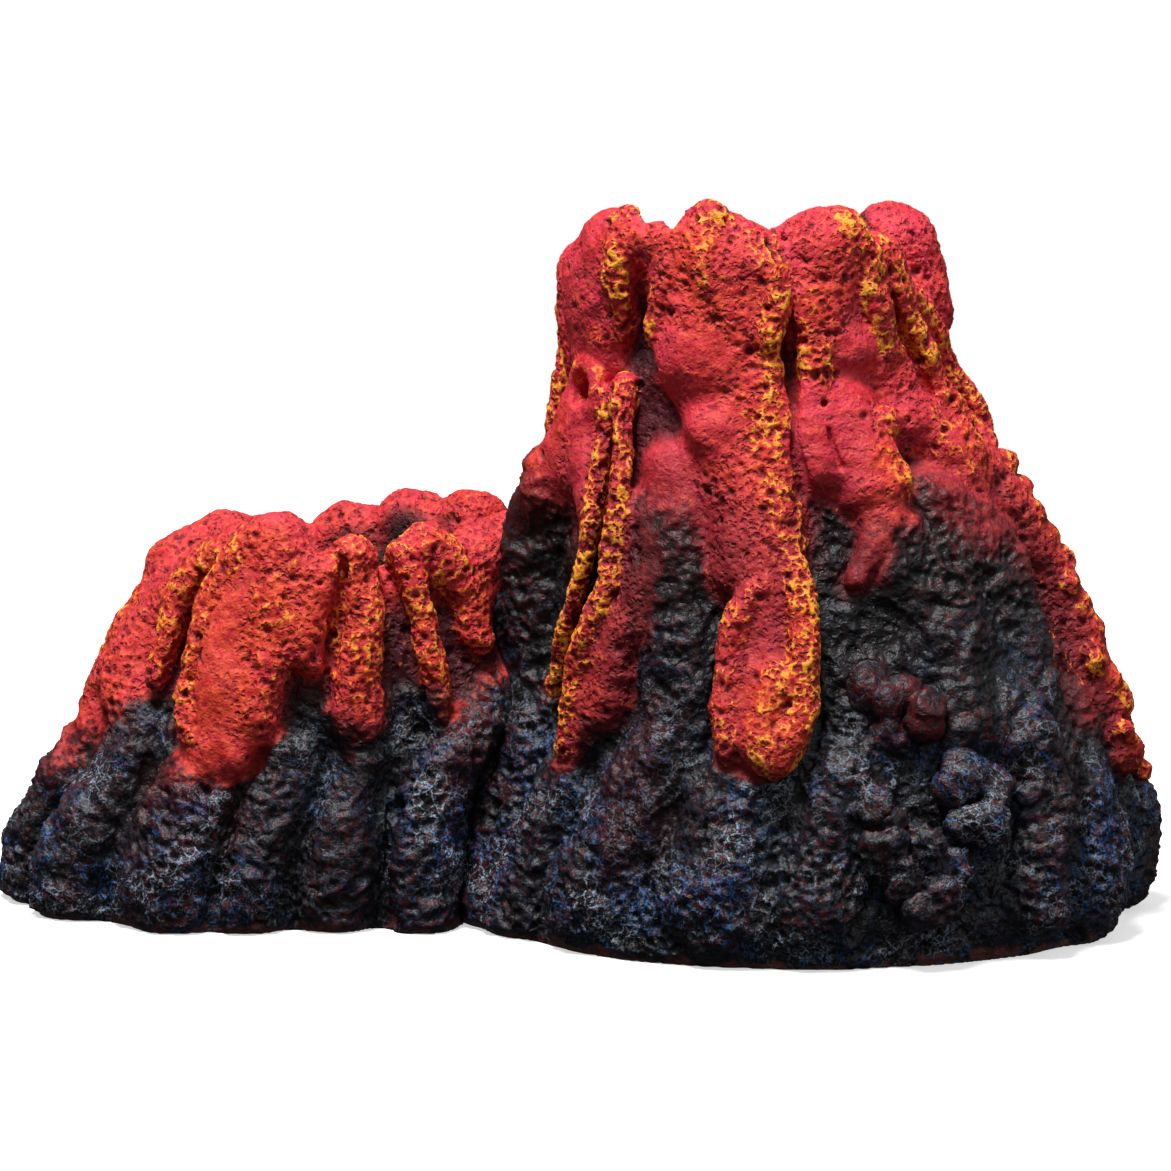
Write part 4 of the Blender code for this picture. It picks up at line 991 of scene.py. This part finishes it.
def finish_fittings():
    """The fittings keep their CAD shapes and take a finish each."""
    plate = moulded("moulded_plate", (0.020, 0.020, 0.022, 1), 0.55)
    cup = moulded("cup_rubber_finish", (0.030, 0.030, 0.032, 1), 0.42, 0.8)
    seal = moulded("seal_rubber_finish", (0.015, 0.015, 0.016, 1), 0.40, 0.8)
    fitting = moulded("fitting_finish", (0.050, 0.050, 0.055, 1), 0.30, 0.5)
    clip = moulded("clip_finish", (0.040, 0.040, 0.045, 1), 0.50)
    hose = silicone()
    grit = sintered_grit()
    finishes = ((plate, ("air_deck",)), (cup, ("suction_cup",)), (seal, ("inlet_oring",)),
                (fitting, ("main_socket", "low_socket", "tee_connector", "inlet_body",
                           "inlet_elbow", "main_stone_nipple", "low_stone_nipple")),
                (clip, ("hose_clip",)), (hose, ("inlet_hose", "branch_hose")),
                (grit, ("main_air_stone", "low_air_stone")))
    for name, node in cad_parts.items():
        for finish, starts in finishes:
            if name.startswith(starts):
                node.data.materials.clear()
                node.data.materials.append(finish)


def add_piece(name, mesh, body, slot, material, *nodes):
    """A visible piece that rides a body and stands in for CAD nodes."""
    piece = bpy.data.objects.new(name, mesh)
    bpy.context.collection.objects.link(piece)
    mesh.materials.append(material)
    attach(piece, body)
    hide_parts(*nodes)


def castings():
    """Both sculpts, in place of the CAD cones."""
    resin = painted_resin()
    tall = sculpt_tall_cone()
    low = sculpt_low_crater()
    for mesh, node in ((build(tall), "main_cone"), (build(low, tall), "low_crater")):
        add_piece(node + "_sculpt", mesh, "shell", "painted_resin", resin, node)


def camera_and_light():
    """The photo's camera, a white backdrop, two lamps and a floor."""
    data = bpy.data.cameras.new("view")
    data.sensor_width = 36.0
    data.lens = data.sensor_width * CAMERA_DISTANCE / FRAME_WIDTH
    data.clip_start = 0.01
    eye = bpy.data.objects.new("view", data)
    bpy.context.collection.objects.link(eye)
    aim = Vector((0, -cos(CAMERA_ELEVATION), sin(CAMERA_ELEVATION)))
    eye.location = CAMERA_TARGET + CAMERA_DISTANCE * aim
    eye.rotation_euler = (radians(90) - CAMERA_ELEVATION, 0, 0)
    bpy.context.scene.camera = eye
    bpy.context.scene.view_settings.view_transform = "Standard"
    world = bpy.data.worlds.new("studio")
    bpy.context.scene.world = world
    world.use_nodes = True
    # the backdrop is seen white, but lights the object less, and least from below
    nodes, links = world.node_tree.nodes, world.node_tree.links
    split = nodes.new("ShaderNodeSeparateXYZ")
    links.new(nodes.new("ShaderNodeTexCoord").outputs["Generated"], split.inputs[0])
    sky = nodes.new("ShaderNodeMapRange")
    for number, value in enumerate((-0.2, 0.8, 0.05, 0.42), 1):
        sky.inputs[number].default_value = value
    links.new(split.outputs["Z"], sky.inputs["Value"])
    strength = nodes.new("ShaderNodeMath")
    strength.operation = "MAXIMUM"
    links.new(nodes.new("ShaderNodeLightPath").outputs["Is Camera Ray"], strength.inputs[0])
    links.new(sky.outputs[0], strength.inputs[1])
    backdrop = nodes["Background"]
    backdrop.inputs["Color"].default_value = (1, 1, 1, 1)
    links.new(strength.outputs[0], backdrop.inputs["Strength"])
    for name, place, size, power in (("key", (-0.2, -0.4, 1.25), 0.35, 22),
                                     ("fill", (0.9, -0.8, 0.6), 0.7, 1.5)):
        lamp = bpy.data.lights.new(name, "AREA")
        lamp.size = size
        lamp.energy = power
        holder = bpy.data.objects.new(name, lamp)
        holder.location = place
        holder.rotation_euler = (Vector(place) - CAMERA_TARGET).to_track_quat("Z", "Y").to_euler()
        bpy.context.collection.objects.link(holder)
    floor_mesh = bpy.data.meshes.new("floor")
    corners = [(x * FLOOR_REACH, y * FLOOR_REACH, 0) for x, y in ((-1, -1), (1, -1), (1, 1), (-1, 1))]
    floor_mesh.from_pydata(corners, [], [(0, 1, 2, 3)])
    floor = bpy.data.objects.new("floor", floor_mesh)
    bpy.context.collection.objects.link(floor)
    paper = Nodes("paper", 0.9)
    tint = paper.mix(paper.noise(400, 2), (0.80, 0.80, 0.80, 1), (0.84, 0.84, 0.84, 1))
    paper.shader.inputs["Emission Color"].default_value = (1, 1, 1, 1)
    paper.shader.inputs["Emission Strength"].default_value = 0.55
    paper.put(paper.shader.inputs["Base Color"], tint)
    floor_mesh.materials.append(paper.material)
    floor.visible_diffuse = False
    floor.visible_glossy = False


camera_and_light()
castings()
finish_fittings()
